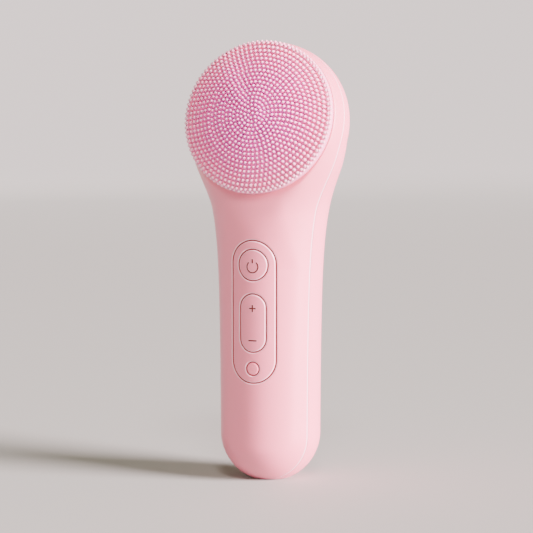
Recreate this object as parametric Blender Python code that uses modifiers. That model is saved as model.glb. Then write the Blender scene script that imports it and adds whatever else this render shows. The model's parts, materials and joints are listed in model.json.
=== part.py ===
"""Facial cleansing brush: a handle with a round silicone bristle head, tilted back.

Frame: +Z up the handle, -Y the front, origin at the middle of the flat the brush stands on.
Dimensions are in millimetres and turned into metres by MM. "Forward" is the distance along -Y.
The head has an axis of its own: it crosses the handle's axis at HEAD_HEIGHT and rises by HEAD_TILT,
and "along" is the distance along it.
"""
import math

import bmesh
import bpy
import numpy as np
from mathutils import Matrix, Vector

MM = 0.001

# Handle and neck
HANDLE_RADIUS = 18.8
HANDLE_TAPER = 0.2
TAPER_FROM, TAPER_TO = 20.0, 70.0
BASE_FLAT_RADIUS = 7.5
BASE_CENTRE = math.sqrt(HANDLE_RADIUS**2 - BASE_FLAT_RADIUS**2)
FLARE_WIDTH, FLARE_HEIGHT, FLARE_LENGTH = 1.2, 85.0, 16.0
NECK_TOP, NECK_FADE, NECK_ENDS = 104.0, 32.5, 128.0
NECK_BLEND = 8.0
WIDEST_HEIGHT = 125.0

# Flatter front face of the handle, which opens out into the head's face
FRONT_DEPTH = 18.2
FRONT_CURVE = 0.0263
FRONT_OPENS, FRONT_OPEN_AT = 80.0, 118.0
FRONT_EDGE = 0.5

# Head
HEAD_HEIGHT = 132.5
HEAD_TILT = math.radians(14.0)
HEAD_RADIUS = 30.9
HEAD_WIDEST = 1.4
HEAD_BACK = 20.0
RIM_ALONG, RIM_RADIUS = 10.75, 29.1
SIDE_CURVE = (HEAD_RADIUS - RIM_RADIUS) / (RIM_ALONG - HEAD_WIDEST) ** 2

# Walls, and the joint between the shells
WALL = 2.0
SHELL_FLOOR = 2.5
SEAM_FORWARD, SEAM_ALONG, SEAM_BLEND = 7.0, 4.45, 3.0
SEAM_LOW, SEAM_HIGH = -10.0, 180.0
SEAM_BENDS = (60.0, 100.0, 104.0, 107.0, 110.0, 113.0, 116.0, 119.0, 122.0, 125.0, 128.0)
GASKET_HALF, SEAM_GAP = 0.25, 0.2
GASKET_OUTER, GASKET_INNER = 0.3, 1.7
GASKET_BOTTOM, GASKET_INNER_BOTTOM, GASKET_CAP_HOLE = 0.6, 0.9, 10.1
CLEAR = 0.3

# How far cutting shapes reach: past the whole body, past the face they cut, and into what they join
FAR, PAST, JOIN = 60.0, 1.0, 0.5

# Brush head
POCKET_RADIUS, POCKET_FLOOR = 26.2, 6.6
PAD_RADIUS, PAD_BACK, PAD_SHOULDER = 29.0, 11.05, 13.4
PAD_EDGE_RADIUS, PAD_EDGE, PAD_CROWN = 28.2, 14.3, 19.0
CARRIER_RADIUS, CARRIER_BACK = 25.7, 6.95
CARRIER_FRONT, CARRIER_WEB, CARRIER_INNER = 10.75, 9.2, 22.5
CARRIER_GROOVE, GROOVE_BACK, GROOVE_FRONT = 24.3, 8.15, 9.75
CARRIER_SEAL_RADIUS, CARRIER_SEAL_THICK = 25.25, 0.7

# Control panel, in the handle's front face
PANEL_HEIGHT, PANEL_HALF_WIDTH, PANEL_HALF_LENGTH = 64.07, 8.5, 26.25
PANEL_BACK, RECESS_FLOOR, RECESS_BACK = 14.1, 12.9, 11.2
PANEL_GAP, KEY_GAP = 0.2, 0.25
PANEL_RIB = 2.1
POWER_HEIGHT, POWER_RADIUS = 81.4, 5.65
ROCKER_HEIGHT, ROCKER_HALF_WIDTH, ROCKER_HALF_LENGTH = 59.95, 5.0, 10.65
PLUS_HEIGHT, MINUS_HEIGHT = 65.4, 53.5
LIGHT_HEIGHT, LIGHT_RADIUS = 43.04, 2.35
KEY_BACK, STEM_BACK = 14.4, 11.15
POWER_STEM, ROCKER_STEM, LIGHT_STEM, STEM_CLEAR = 2.7, 1.8, 1.5, 0.4
LIGHT_BACK = 10.2
ROCKER_PIN_FORWARD, ROCKER_PIN_RADIUS, ROCKER_PIN_HALF, ROCKER_PIN_CLEAR = 15.2, 0.6, 6.6, 0.2
PANEL_SEAL_BACK, PANEL_SEAL_FRONT, PANEL_SEAL_INSET = 13.2, 13.8, 0.3

# Circuit board
BOARD_BACK, BOARD_FRONT = 7.6, 8.6
BOARD_HALF_WIDTH, BOARD_BOTTOM, BOARD_TOP = 10.5, 31.0, 91.0
PART_GAP = 0.2
SWITCH_SIZE, SWITCH_TOP, PLUNGER_TOP, PLUNGER_RADIUS = 4.6, 10.2, 10.6, 1.3
BOARD_SCREW_X, BOARD_SCREW_HEIGHT, BOARD_STAND_RADIUS = 8.2, 73.5, 2.2

# Parts soldered to the board: x, height, width, length, thickness, material
BOARD_PARTS = {
    "indicator_led": (0.0, LIGHT_HEIGHT, 2.8, 2.8, 1.0, "lens"),
    "control_chip": (6.3, 60.0, 5.0, 5.0, 1.0, "chip"),
    "charge_chip": (-6.0, 36.5, 3.0, 3.0, 0.9, "chip"),
    "motor_connector": (-5.5, 87.5, 4.5, 3.5, 2.0, "nylon"),
    "battery_connector": (6.0, 35.5, 5.0, 4.0, 2.0, "nylon"),
}

# Inner frame, battery
FRAME_BACK, FRAME_FRONT = 3.0, 5.0
FRAME_HALF_WIDTH, FRAME_BOTTOM, FRAME_TOP = 13.2, 19.5, 100.5
NOTCH_HALF_WIDTH, NOTCH_BOTTOM = 6.6, 84.0
CRADLE_WALL, CRADLE_GAP = 1.6, 1.8
CRADLE_HALF_WIDTH, CRADLE_REACH = 8.0, 11.0
FRAME_SCREW_X, FRAME_SCREW_LOW, FRAME_SCREW_HIGH = 10.0, 25.0, 97.0
BATTERY_Y, BATTERY_RADIUS = 5.5, 7.0
BATTERY_BOTTOM, BATTERY_TOP, BATTERY_EDGE = 23.0, 73.0, 0.5
TERMINAL_RADIUS, TERMINAL_RISE = 2.4, 1.0
TAB_THICK, TAB_HALF_WIDTH, TAB_HALF_DEPTH, TAB_GAP = 0.5, 3.0, 5.0, 0.25
FOAM_HALF_WIDTH, FOAM_BOTTOM, FOAM_TOP, FOAM_Y = 4.5, 30.0, 66.0, 15.6

# Base
CAP_RADIUS, CAP_HOLE = 9.0, 9.3
CAP_NECK, CAP_LIP, CAP_BORE, CAP_FACE = 7.85, 1.15, 6.4, 1.8
FLANGE_RADIUS, FLANGE_BACK, FLANGE_TOP = 10.2, 4.3, 5.1
BASE_SEAL_RADIUS, BASE_SEAL_THICK, BASE_SEAL_HEIGHT = 8.55, 0.55, 2.0
CONTACT_X, CONTACT_RADIUS, CONTACT_CLEAR, CONTACT_BOTTOM = 3.6, 1.4, 0.2, 0.3
CONTACT_COLLAR, CONTACT_COLLAR_BACK, CONTACT_COLLAR_TOP = 2.1, 2.1, 2.8
CONTACT_PIN, CONTACT_TOP = 1.0, 7.0

# Motor
MOTOR_Y = 2.5
MOTOR_RADIUS, MOTOR_BOTTOM, MOTOR_TOP, MOTOR_EDGE = 6.0, 96.0, 116.0, 0.6
END_CAP_RADIUS, END_CAP_THICK = 5.5, 1.6
BEARING_RADIUS, BEARING_BORE, BEARING_LOW, BEARING_HIGH = 2.3, 1.15, 116.2, 117.9
SLEEVE_INNER, SLEEVE_OUTER, SLEEVE_BOTTOM, SLEEVE_TOP = 6.2, 8.0, 99.0, 111.0
BRACKET_INNER, BRACKET_OUTER, BRACKET_BOTTOM, BRACKET_TOP = 8.2, 10.0, 101.0, 109.0
BRACKET_SCREW_X, BRACKET_EAR, BRACKET_REACH = 13.0, 3.0, 15.4
SHAFT_RADIUS, SHAFT_BOTTOM, SHAFT_TOP = 1.0, 116.3, 127.5
WEIGHT_RADIUS, WEIGHT_BOTTOM, WEIGHT_TOP = 5.0, 119.0, 126.5
WEIGHT_HUB, WEIGHT_BORE = 2.0, 1.12

# Screws
SCREW_RADIUS, SCREW_HEAD, SCREW_HEAD_THICK = 0.95, 1.8, 1.3
SCREW_HEAD_TOP, SCREW_HEAD_SIDE = 1.4, 0.7
SCREW_POINT, SCREW_POINT_LENGTH, SCREW_SEAT_GAP = 0.3, 0.6, 0.2
SCREW_HOLE, BOSS_RADIUS, PILOT_DEPTH = 1.15, 2.6, 6.0
LONG_SCREW, SHORT_SCREW = 7.0, 5.0

# Leads: the points (x, y, z) that each wire runs through
LEAD_RADIUS = 0.55
LEAD_ROUTES = {
    "motor_lead_red": [
        (-2.5, 2.5, 93.4), (-3.4, 0.5, 90.6), (-4.0, -3.5, 88.8), (-4.8, -6.3, 90.4),
        (-5.9, -8.2, 92.6), (-6.4, -10.0, 91.6), (-6.4, -10.0, 89.6),
    ],
    "motor_lead_black": [
        (2.5, 2.5, 93.4), (1.6, 0.5, 90.6), (-0.6, -3.5, 88.8), (-2.6, -6.3, 90.4),
        (-4.2, -8.2, 92.6), (-4.7, -10.0, 91.6), (-4.7, -10.0, 89.6),
    ],
    "battery_lead_red": [
        (4.6, 5.5, 74.1), (9.0, 4.5, 73.8), (12.4, 1.0, 70.0), (14.6, -2.5, 60.0),
        (14.6, -4.5, 50.0), (13.6, -7.4, 41.0), (11.6, -9.9, 36.8), (9.2, -9.9, 36.4),
    ],
    "battery_lead_black": [
        (4.0, 5.5, 22.1), (9.0, 3.2, 22.1), (13.2, 0.4, 24.5), (14.7, -4.0, 28.0),
        (13.8, -7.4, 31.5), (11.6, -9.9, 34.2), (9.2, -9.9, 34.6),
    ],
    "charge_lead_red": [
        (3.6, 0.0, 7.6), (3.7, -1.5, 11.0), (4.2, -5.0, 16.0), (4.5, -7.0, 22.0), (4.6, -8.1, 30.4),
    ],
    "charge_lead_black": [
        (-3.6, 0.0, 7.6), (-3.7, -1.5, 11.0), (-4.2, -5.0, 16.0), (-4.5, -7.0, 22.0), (-4.6, -8.1, 30.4),
    ],
}

# Facets
MIDDLE_SECTIONS = (
    32.0, 50.0, 66.0, 76.0, 83.0, 88.0, 93.0, 98.0, 103.0, 105.5, 108.0, 111.0,
    115.0, 119.125, 123.25, 127.375, 131.5, 135.625, 139.75, 143.875, 148.0,
)
END_SECTIONS, LEAST_SECTION = 7, 0.6
BODY_SIDES = 40
CAVITY_SIDES = 28
GASKET_SIDES = 32
RING_SIDES = 40
CELL_SIDES = 28
SLOT_SIDES = 24
SMALL_SIDES = 16
SCREW_SIDES = 12
ROUND_SIDES = 8
LEAD_STEPS = 4

COLOURS = {
    "shell": ((0.93, 0.68, 0.72), 0.42, 0.0),
    "rear": ((0.93, 0.70, 0.74), 0.42, 0.0),
    "silicone": ((0.90, 0.45, 0.60), 0.5, 0.0),
    "gasket": ((0.95, 0.82, 0.84), 0.6, 0.0),
    "key": ((0.93, 0.69, 0.73), 0.4, 0.0),
    "lens": ((0.95, 0.80, 0.82), 0.2, 0.0),
    "nylon": ((0.85, 0.84, 0.80), 0.5, 0.0),
    "rubber": ((0.05, 0.05, 0.06), 0.7, 0.0),
    "steel": ((0.62, 0.63, 0.65), 0.3, 1.0),
    "brass": ((0.85, 0.62, 0.25), 0.3, 1.0),
    "board": ((0.03, 0.25, 0.12), 0.5, 0.0),
    "chip": ((0.03, 0.03, 0.035), 0.5, 0.0),
    "battery": ((0.12, 0.30, 0.60), 0.35, 0.0),
    "foam": ((0.20, 0.20, 0.22), 0.9, 0.0),
    "red_lead": ((0.70, 0.04, 0.03), 0.5, 0.0),
    "black_lead": ((0.02, 0.02, 0.02), 0.5, 0.0),
}

FACING_FRONT = Matrix.Rotation(math.radians(90), 4, "X")
HEAD_FRAME = Matrix.Translation((0, 0, HEAD_HEIGHT * MM)) @ Matrix.Rotation(
    math.radians(90) - HEAD_TILT, 4, "X"
)


# ---------------------------------------------------------------- scene helpers


def clear_scene():
    for item in list(bpy.data.objects):
        bpy.data.objects.remove(item)


def make_collection(name):
    group = bpy.data.collections.new(name)
    bpy.context.scene.collection.children.link(group)
    return group


def make_materials():
    made = {}
    for name, (colour, roughness, metallic) in COLOURS.items():
        material = bpy.data.materials.new(name)
        material.use_nodes = True
        shader = material.node_tree.nodes["Principled BSDF"]
        shader.inputs["Base Color"].default_value = (*colour, 1.0)
        shader.inputs["Roughness"].default_value = roughness
        shader.inputs["Metallic"].default_value = metallic
        material.diffuse_color = (*colour, 1.0)
        made[name] = material
    return made


clear_scene()
PARTS = make_collection("facial_cleansing_brush")
CUTTERS = make_collection("cutters")
MATERIALS = make_materials()


def add_object(name, data, material, matrix=None):
    """A part, or a cutter when it has no material."""
    item = bpy.data.objects.new(name, data)
    if material:
        PARTS.objects.link(item)
        data.materials.append(MATERIALS[material])
    else:
        CUTTERS.objects.link(item)
        item.hide_render = True
        item.display_type = "WIRE"
    if matrix is not None:
        item.matrix_world = matrix
    return item


def mesh_from(bm, name):
    bmesh.ops.recalc_face_normals(bm, faces=bm.faces)
    mesh = bpy.data.meshes.new(name)
    bm.to_mesh(mesh)
    bm.free()
    return mesh


def soften(item, degrees=30):
    item.data.shade_smooth()
    item.data.set_sharp_from_angle(angle=math.radians(degrees))


def boolean(item, other, operation="DIFFERENCE"):
    step = item.modifiers.new(operation.lower() + "_" + other.name, "BOOLEAN")
    step.operation = operation
    step.object = other


# ---------------------------------------------------------------- basic shapes


def box(name, low, high, material=None, matrix=None):
    """A box between two corners, in millimetres."""
    low, high = Vector(low) * MM, Vector(high) * MM
    bm = bmesh.new()
    bmesh.ops.create_cube(bm, size=1.0)
    bmesh.ops.scale(bm, vec=high - low, verts=bm.verts)
    bmesh.ops.translate(bm, vec=(low + high) / 2, verts=bm.verts)
    return add_object(name, mesh_from(bm, name), material, matrix)


def rod(name, radius, start, end, x=0.0, y=0.0, material=None, matrix=None, sides=SMALL_SIDES):
    """A cylinder along the local Z axis of matrix, standing at x, y."""
    bm = bmesh.new()
    bmesh.ops.create_cone(
        bm, cap_ends=True, segments=sides, radius1=radius * MM, radius2=radius * MM,
        depth=(end - start) * MM,
    )
    bmesh.ops.translate(bm, vec=Vector((x, y, (start + end) / 2)) * MM, verts=bm.verts)
    return add_object(name, mesh_from(bm, name), material, matrix)


def turned(
    name, profile, material=None, matrix=None, closed=False, sides=RING_SIDES, origin=(0, 0, 0)
):
    """A turned solid. The profile is (radius, height) pairs, down the outer side."""
    bm = bmesh.new()
    verts = [bm.verts.new((radius * MM, 0.0, height * MM)) for radius, height in profile]
    for first, second in zip(verts, verts[1:]):
        bm.edges.new((first, second))
    if closed:
        bm.edges.new((verts[-1], verts[0]))
    mesh = bpy.data.meshes.new(name)
    bm.to_mesh(mesh)
    bm.free()
    place = Matrix.Translation(Vector(origin) * MM)
    item = add_object(name, mesh, material, place if matrix is None else matrix @ place)
    spin = item.modifiers.new("turn", "SCREW")
    spin.steps = sides
    spin.render_steps = sides
    spin.axis = "Z"
    spin.use_merge_vertices = True
    spin.merge_threshold = 0.00001
    spin.use_smooth_shade = True
    return item


def circle_points(radius, x=0.0, y=0.0, sides=SMALL_SIDES):
    angles = [2 * math.pi * i / sides for i in range(sides)]
    return [(x + radius * math.cos(a), y + radius * math.sin(a)) for a in angles]


def stadium_points(half_width, half_length, x=0.0, y=0.0, sides=SLOT_SIDES):
    """A slot outline with round ends, longer along its second axis."""
    straight = half_length - half_width
    half = sides // 2
    points = []
    for end, start in ((1, 0.0), (-1, math.pi)):
        for i in range(half + 1):
            a = start + math.pi * i / half
            points.append((x + half_width * math.cos(a), y + end * straight + half_width * math.sin(a)))
    return points


def rectangle_points(x0, x1, y0, y1):
    return [(x0, y0), (x1, y0), (x1, y1), (x0, y1)]


def prism(name, outlines, start, end, material=None, matrix=None):
    """Flat outlines, the later ones holes in the first, extruded along the local Z axis."""
    curve = bpy.data.curves.new(name + "_outline", "CURVE")
    curve.dimensions = "2D"
    curve.fill_mode = "BOTH"
    curve.extrude = (end - start) / 2 * MM
    for outline in outlines:
        spline = curve.splines.new("POLY")
        spline.points.add(len(outline) - 1)
        for point, (x, y) in zip(spline.points, outline):
            point.co = (x * MM, y * MM, 0.0, 1.0)
        spline.use_cyclic_u = True
    lift = Matrix.Translation((0, 0, (start + end) / 2 * MM))
    return mesh_object(name, curve, material, lift if matrix is None else matrix @ lift)


def mesh_object(name, curve, material, matrix):
    """The evaluated curve as a welded mesh, so that it can be cut and joined."""
    guide = bpy.data.objects.new(name + "_guide", curve)
    CUTTERS.objects.link(guide)
    evaluated = guide.evaluated_get(bpy.context.evaluated_depsgraph_get())
    mesh = bpy.data.meshes.new_from_object(evaluated)
    mesh.name = name
    bpy.data.objects.remove(guide)
    bm = bmesh.new()
    bm.from_mesh(mesh)
    bmesh.ops.remove_doubles(bm, verts=bm.verts, dist=0.000001)
    bmesh.ops.recalc_face_normals(bm, faces=bm.faces)
    bm.to_mesh(mesh)
    bm.free()
    return add_object(name, mesh, material, matrix)


def lead(name, route, material):
    """A thin wire on a smooth curve through the route's points, in millimetres."""
    points = [Vector(p) for p in route]
    ends = [2 * points[0] - points[1], *points, 2 * points[-1] - points[-2]]
    smooth = []
    for a, b, c, d in zip(ends, ends[1:], ends[2:], ends[3:]):
        for i in range(LEAD_STEPS):
            t = i / LEAD_STEPS
            bend = (2 * a - 5 * b + 4 * c - d) * t**2
            twist = (3 * b - a - 3 * c + d) * t**3
            smooth.append((2 * b + (c - a) * t + bend + twist) / 2)
    smooth.append(points[-1])
    curve = bpy.data.curves.new(name, "CURVE")
    curve.dimensions = "3D"
    curve.bevel_depth = LEAD_RADIUS * MM
    curve.bevel_resolution = 1
    curve.use_fill_caps = True
    spline = curve.splines.new("POLY")
    spline.points.add(len(smooth) - 1)
    for point, place in zip(spline.points, smooth):
        point.co = (*(place * MM), 1.0)
    return add_object(name, curve, material)


# ---------------------------------------------------------------- body surface


def smooth_min(a, b, width):
    mix = np.maximum(width - np.abs(a - b), 0.0) / width
    return np.minimum(a, b) - mix * mix * width / 4


def smooth_max(a, b, width):
    return -smooth_min(-a, -b, width)


def body_depth(x, y, z):
    """How deep a point lies under the body's outer skin, roughly, in millimetres."""
    forward = -y
    reach = np.hypot(x, y)
    half_depth = HANDLE_RADIUS + HANDLE_TAPER * np.clip((z - TAPER_FROM) / (TAPER_TO - TAPER_FROM), 0, 1)
    flare = FLARE_WIDTH * np.exp((np.minimum(z, WIDEST_HEIGHT) - FLARE_HEIGHT) / FLARE_LENGTH)
    half_width = half_depth + flare
    across = x / np.maximum(reach, 1e-6)
    toward = y / np.maximum(reach, 1e-6)
    oval = 1 / np.sqrt((across / half_width) ** 2 + (toward / half_depth) ** 2 + 1e-9)
    fade = np.sqrt(np.clip(1 - np.clip((z - NECK_TOP) / NECK_FADE, 0, 1) ** 2, 0, 1))
    handle = oval * fade - np.hypot(reach, np.maximum(BASE_CENTRE - z, 0.0))
    handle -= np.maximum(z - NECK_ENDS, 0.0)

    opening = np.clip((FRONT_OPEN_AT - z) / (FRONT_OPEN_AT - FRONT_OPENS), 0, 1)
    face = FRONT_DEPTH - FRONT_CURVE * opening * x * x - forward

    cosine, sine = math.cos(HEAD_TILT), math.sin(HEAD_TILT)
    along = forward * cosine + (z - HEAD_HEIGHT) * sine
    up = -forward * sine + (z - HEAD_HEIGHT) * cosine
    out = np.hypot(x, up)
    behind = along - HEAD_WIDEST
    ratio = np.hypot(out / HEAD_RADIUS, behind / HEAD_BACK) + 1e-9
    slope = np.hypot(out / HEAD_RADIUS**2, behind / HEAD_BACK**2) + 1e-9
    head = np.where(behind > 0, HEAD_RADIUS - SIDE_CURVE * behind**2 - out, -ratio * (ratio - 1) / slope)
    return smooth_max(smooth_min(handle, face, FRONT_EDGE), head, NECK_BLEND)


def body_top(inset):
    """Height at which the skin, or a surface that lies inset under it, crosses the handle's axis."""
    low, high = HEAD_HEIGHT, HEAD_HEIGHT + 2 * HEAD_RADIUS
    for _ in range(40):
        middle = (low + high) / 2
        inside = body_depth(np.array(0.0), np.array(0.0), np.array(middle)) > inset
        low, high = (middle, high) if inside else (low, middle)
    return low


def body_levels(bottom, top):
    """Heights of the body's sections, closer together where it curves."""
    quarter = np.linspace(0, math.pi / 2, END_SECTIONS)
    base = BASE_CENTRE * (1 - np.cos(quarter))
    last = MIDDLE_SECTIONS[-1]
    crown = top - (top - last) * (1 - np.sin(quarter))[1:-1]
    levels = np.concatenate([base, MIDDLE_SECTIONS, crown])
    return np.concatenate([[bottom], levels[levels > bottom + LEAST_SECTION]])


def body_rings(inset, bottom, sides):
    """Radius of the surface that lies inset under the skin, for each level and direction."""
    top = body_top(inset)
    levels = body_levels(bottom, top)
    angles = np.linspace(0, 2 * math.pi, sides, endpoint=False)
    height, angle = np.meshgrid(levels, angles, indexing="ij")
    low = np.zeros_like(height)
    high = np.full_like(height, 2 * HEAD_RADIUS)
    for _ in range(30):
        middle = (low + high) / 2
        inside = body_depth(middle * np.sin(angle), -middle * np.cos(angle), height) > inset
        low = np.where(inside, middle, low)
        high = np.where(inside, high, middle)
    return levels, angles, low, top


def body_solid(name, inset, bottom, material=None, sides=BODY_SIDES):
    """The body, or what is left of it under its skin, as one closed loft of round sections."""
    levels, angles, radii, top = body_rings(inset, bottom, sides)
    bm = bmesh.new()
    rings = []
    for level, row in zip(levels, radii):
        points = [(r * math.sin(a), -r * math.cos(a), level) for r, a in zip(row, angles)]
        rings.append([bm.verts.new(Vector(p) * MM) for p in points])
    crown = bm.verts.new((0, 0, top * MM))
    for lower, upper in zip(rings, rings[1:]):
        for i in range(sides):
            j = (i + 1) % sides
            bm.faces.new((lower[i], lower[j], upper[j], upper[i]))
    for i in range(sides):
        bm.faces.new((rings[-1][i], rings[-1][(i + 1) % sides], crown))
    bm.faces.new(rings[0][::-1])
    item = add_object(name, mesh_from(bm, name), material)
    soften(item)
    return item


def seam_forward(height):
    """How far forward of the handle's axis the shells part."""
    on_head = (SEAM_ALONG - (height - HEAD_HEIGHT) * math.sin(HEAD_TILT)) / math.cos(HEAD_TILT)
    return float(smooth_min(np.array(SEAM_FORWARD), np.array(on_head), SEAM_BLEND))


def seam_block(name, back, front):
    """A block as wide as the body, bounded by the parting surface moved by back and by front."""
    heights = [SEAM_LOW, *SEAM_BENDS, SEAM_HIGH]
    rear = [(-FAR, SEAM_LOW), (-FAR, SEAM_HIGH)]
    near = [(FAR, SEAM_HIGH), (FAR, SEAM_LOW)]
    if back is not None:
        rear = [(seam_forward(z) + back, z) for z in heights]
    if front is not None:
        near = [(seam_forward(z) + front, z) for z in reversed(heights)]
    # The outline's first axis points forward and its second axis up, so the block's length lies along X.
    along_x = Matrix(((0, 0, 1, 0), (-1, 0, 0, 0), (0, 1, 0, 0), (0, 0, 0, 1)))
    return prism(name, [rear + near], -FAR, FAR, matrix=along_x)


# ---------------------------------------------------------------- shells


def add_screw_posts(cavity, places, start, end, matrix, prefix):
    """Posts left standing in a cavity, for screws to bite into."""
    for i, (x, height) in enumerate(places):
        post = rod(f"{prefix}_{i}", BOSS_RADIUS, start, end, x, height, matrix=matrix)
        boolean(cavity, post)


def frame_screw_places():
    return [(side * FRAME_SCREW_X, z) for z in (FRAME_SCREW_LOW, FRAME_SCREW_HIGH) for side in (-1, 1)]


def cut_panel_seat(shell):
    """The recess that the panel sits in, with a hole through its floor for each stem."""
    wide, tall = PANEL_HALF_WIDTH + PANEL_GAP, PANEL_HALF_LENGTH + PANEL_GAP
    recess = stadium_points(wide, tall, 0, PANEL_HEIGHT)
    boolean(shell, prism("panel_recess", [recess], RECESS_FLOOR, FAR, matrix=FACING_FRONT))
    holes = (
        ("power_hole", POWER_STEM + STEM_CLEAR, POWER_HEIGHT),
        ("plus_hole", ROCKER_STEM + STEM_CLEAR, PLUS_HEIGHT),
        ("minus_hole", ROCKER_STEM + STEM_CLEAR, MINUS_HEIGHT),
        ("light_hole", LIGHT_STEM + STEM_CLEAR, LIGHT_HEIGHT),
    )
    start, end = RECESS_BACK - PAST, RECESS_FLOOR + PAST
    for name, radius, height in holes:
        boolean(shell, rod(name, radius, start, end, 0, height, matrix=FACING_FRONT))


def make_front_shell():
    cavity = body_solid("front_cavity", WALL, SHELL_FLOOR, sides=CAVITY_SIDES)
    start = SEAM_ALONG - CLEAR
    block = rod("head_block", HEAD_RADIUS, start, FAR, matrix=HEAD_FRAME, sides=RING_SIDES)
    boolean(cavity, block)
    wide, tall = PANEL_HALF_WIDTH + PANEL_RIB, PANEL_HALF_LENGTH + PANEL_RIB
    rib = stadium_points(wide, tall, 0, PANEL_HEIGHT)
    boolean(cavity, prism("panel_rib", [rib], RECESS_BACK, FAR, matrix=FACING_FRONT))
    start = FRAME_FRONT + CLEAR
    add_screw_posts(cavity, frame_screw_places(), start, FAR, FACING_FRONT, "front_post")

    shell = body_solid("front_shell", 0.0, 0.0, "shell")
    boolean(shell, cavity)
    boolean(shell, seam_block("front_side", GASKET_HALF + SEAM_GAP, None), "INTERSECT")
    boolean(shell, rod("rim_plane", FAR, RIM_ALONG, FAR, matrix=HEAD_FRAME, sides=RING_SIDES))
    pocket = rod("pad_pocket", POCKET_RADIUS, POCKET_FLOOR, FAR, matrix=HEAD_FRAME, sides=RING_SIDES)
    boolean(shell, pocket)
    cut_panel_seat(shell)
    for i, (x, height) in enumerate(frame_screw_places()):
        start, end = FRAME_FRONT - PAST, FRAME_FRONT + PILOT_DEPTH
        pilot = rod(f"front_pilot_{i}", SCREW_HOLE, start, end, x, height, matrix=FACING_FRONT)
        boolean(shell, pilot)
    boolean(shell, rod("cap_hole_front", CAP_HOLE, -PAST, SHELL_FLOOR + PAST, sides=RING_SIDES))


def make_rear_shell():
    cavity = body_solid("rear_cavity", WALL, SHELL_FLOOR, sides=CAVITY_SIDES)
    facing_back = Matrix.Rotation(math.radians(-90), 4, "X")
    middle = (BRACKET_BOTTOM + BRACKET_TOP) / 2
    places = [(-BRACKET_SCREW_X, -middle), (BRACKET_SCREW_X, -middle)]
    start = MOTOR_Y + BRACKET_EAR / 2 + CLEAR
    add_screw_posts(cavity, places, start, FAR, facing_back, "rear_post")

    shell = body_solid("rear_shell", 0.0, 0.0, "rear")
    boolean(shell, cavity)
    boolean(shell, seam_block("rear_side", None, -GASKET_HALF - SEAM_GAP), "INTERSECT")
    for i, (x, height) in enumerate(places):
        end = start + PILOT_DEPTH - PAST
        pilot = rod(f"rear_pilot_{i}", SCREW_HOLE, 0.0, end, x, height, matrix=facing_back)
        boolean(shell, pilot)
    boolean(shell, rod("cap_hole_rear", CAP_HOLE, -PAST, SHELL_FLOOR + PAST, sides=RING_SIDES))


def make_seam_gasket():
    inside = body_solid("gasket_inside", GASKET_INNER, GASKET_INNER_BOTTOM, sides=GASKET_SIDES)
    gasket = body_solid("seam_gasket", GASKET_OUTER, GASKET_BOTTOM, "gasket", sides=GASKET_SIDES)
    boolean(gasket, inside)
    boolean(gasket, rod("cap_hole_gasket", GASKET_CAP_HOLE, -PAST, 2 * SHELL_FLOOR, sides=RING_SIDES))
    boolean(gasket, seam_block("gasket_slab", -GASKET_HALF, GASKET_HALF), "INTERSECT")


def make_base():
    rounding = [
        (r, BASE_CENTRE - math.sqrt(HANDLE_RADIUS**2 - r * r))
        for r in np.linspace(CAP_RADIUS, BASE_FLAT_RADIUS, 4)
    ]
    profile = [
        (0, CAP_FACE), (CAP_BORE, CAP_FACE), (CAP_BORE, FLANGE_TOP), (FLANGE_RADIUS, FLANGE_TOP),
        (FLANGE_RADIUS, FLANGE_BACK), (CAP_NECK, FLANGE_BACK), (CAP_NECK, CAP_LIP),
        (CAP_RADIUS, CAP_LIP), *rounding, (0, 0),
    ]
    cap = turned("base_cap", profile, "shell", sides=GASKET_SIDES)
    for side in (-1, 1):
        radius = CONTACT_RADIUS + CONTACT_CLEAR
        boolean(cap, rod(f"contact_hole_{side}", radius, -PAST, CAP_FACE + PAST, side * CONTACT_X))
    seal = ring_profile(BASE_SEAL_RADIUS, BASE_SEAL_THICK, ROUND_SIDES)
    turned("base_seal", seal, "rubber", closed=True, sides=GASKET_SIDES, origin=(0, 0, BASE_SEAL_HEIGHT))
    contact = [
        (0, CONTACT_TOP), (CONTACT_PIN, CONTACT_TOP), (CONTACT_PIN, CONTACT_COLLAR_TOP),
        (CONTACT_COLLAR, CONTACT_COLLAR_TOP), (CONTACT_COLLAR, CONTACT_COLLAR_BACK),
        (CONTACT_RADIUS, CONTACT_COLLAR_BACK), (CONTACT_RADIUS, CONTACT_BOTTOM), (0, CONTACT_BOTTOM),
    ]
    for name, side in (("charging_contact_left", -1), ("charging_contact_right", 1)):
        turned(name, contact, "brass", sides=SMALL_SIDES, origin=(side * CONTACT_X, 0, 0))


def ring_profile(radius, thick, sides):
    """The round section of a ring, from its top down the outer side."""
    angles = [math.pi / 2 - 2 * math.pi * i / sides for i in range(sides)]
    return [(radius + thick * math.cos(a), thick * math.sin(a)) for a in angles]


# ---------------------------------------------------------------- brush head


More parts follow.
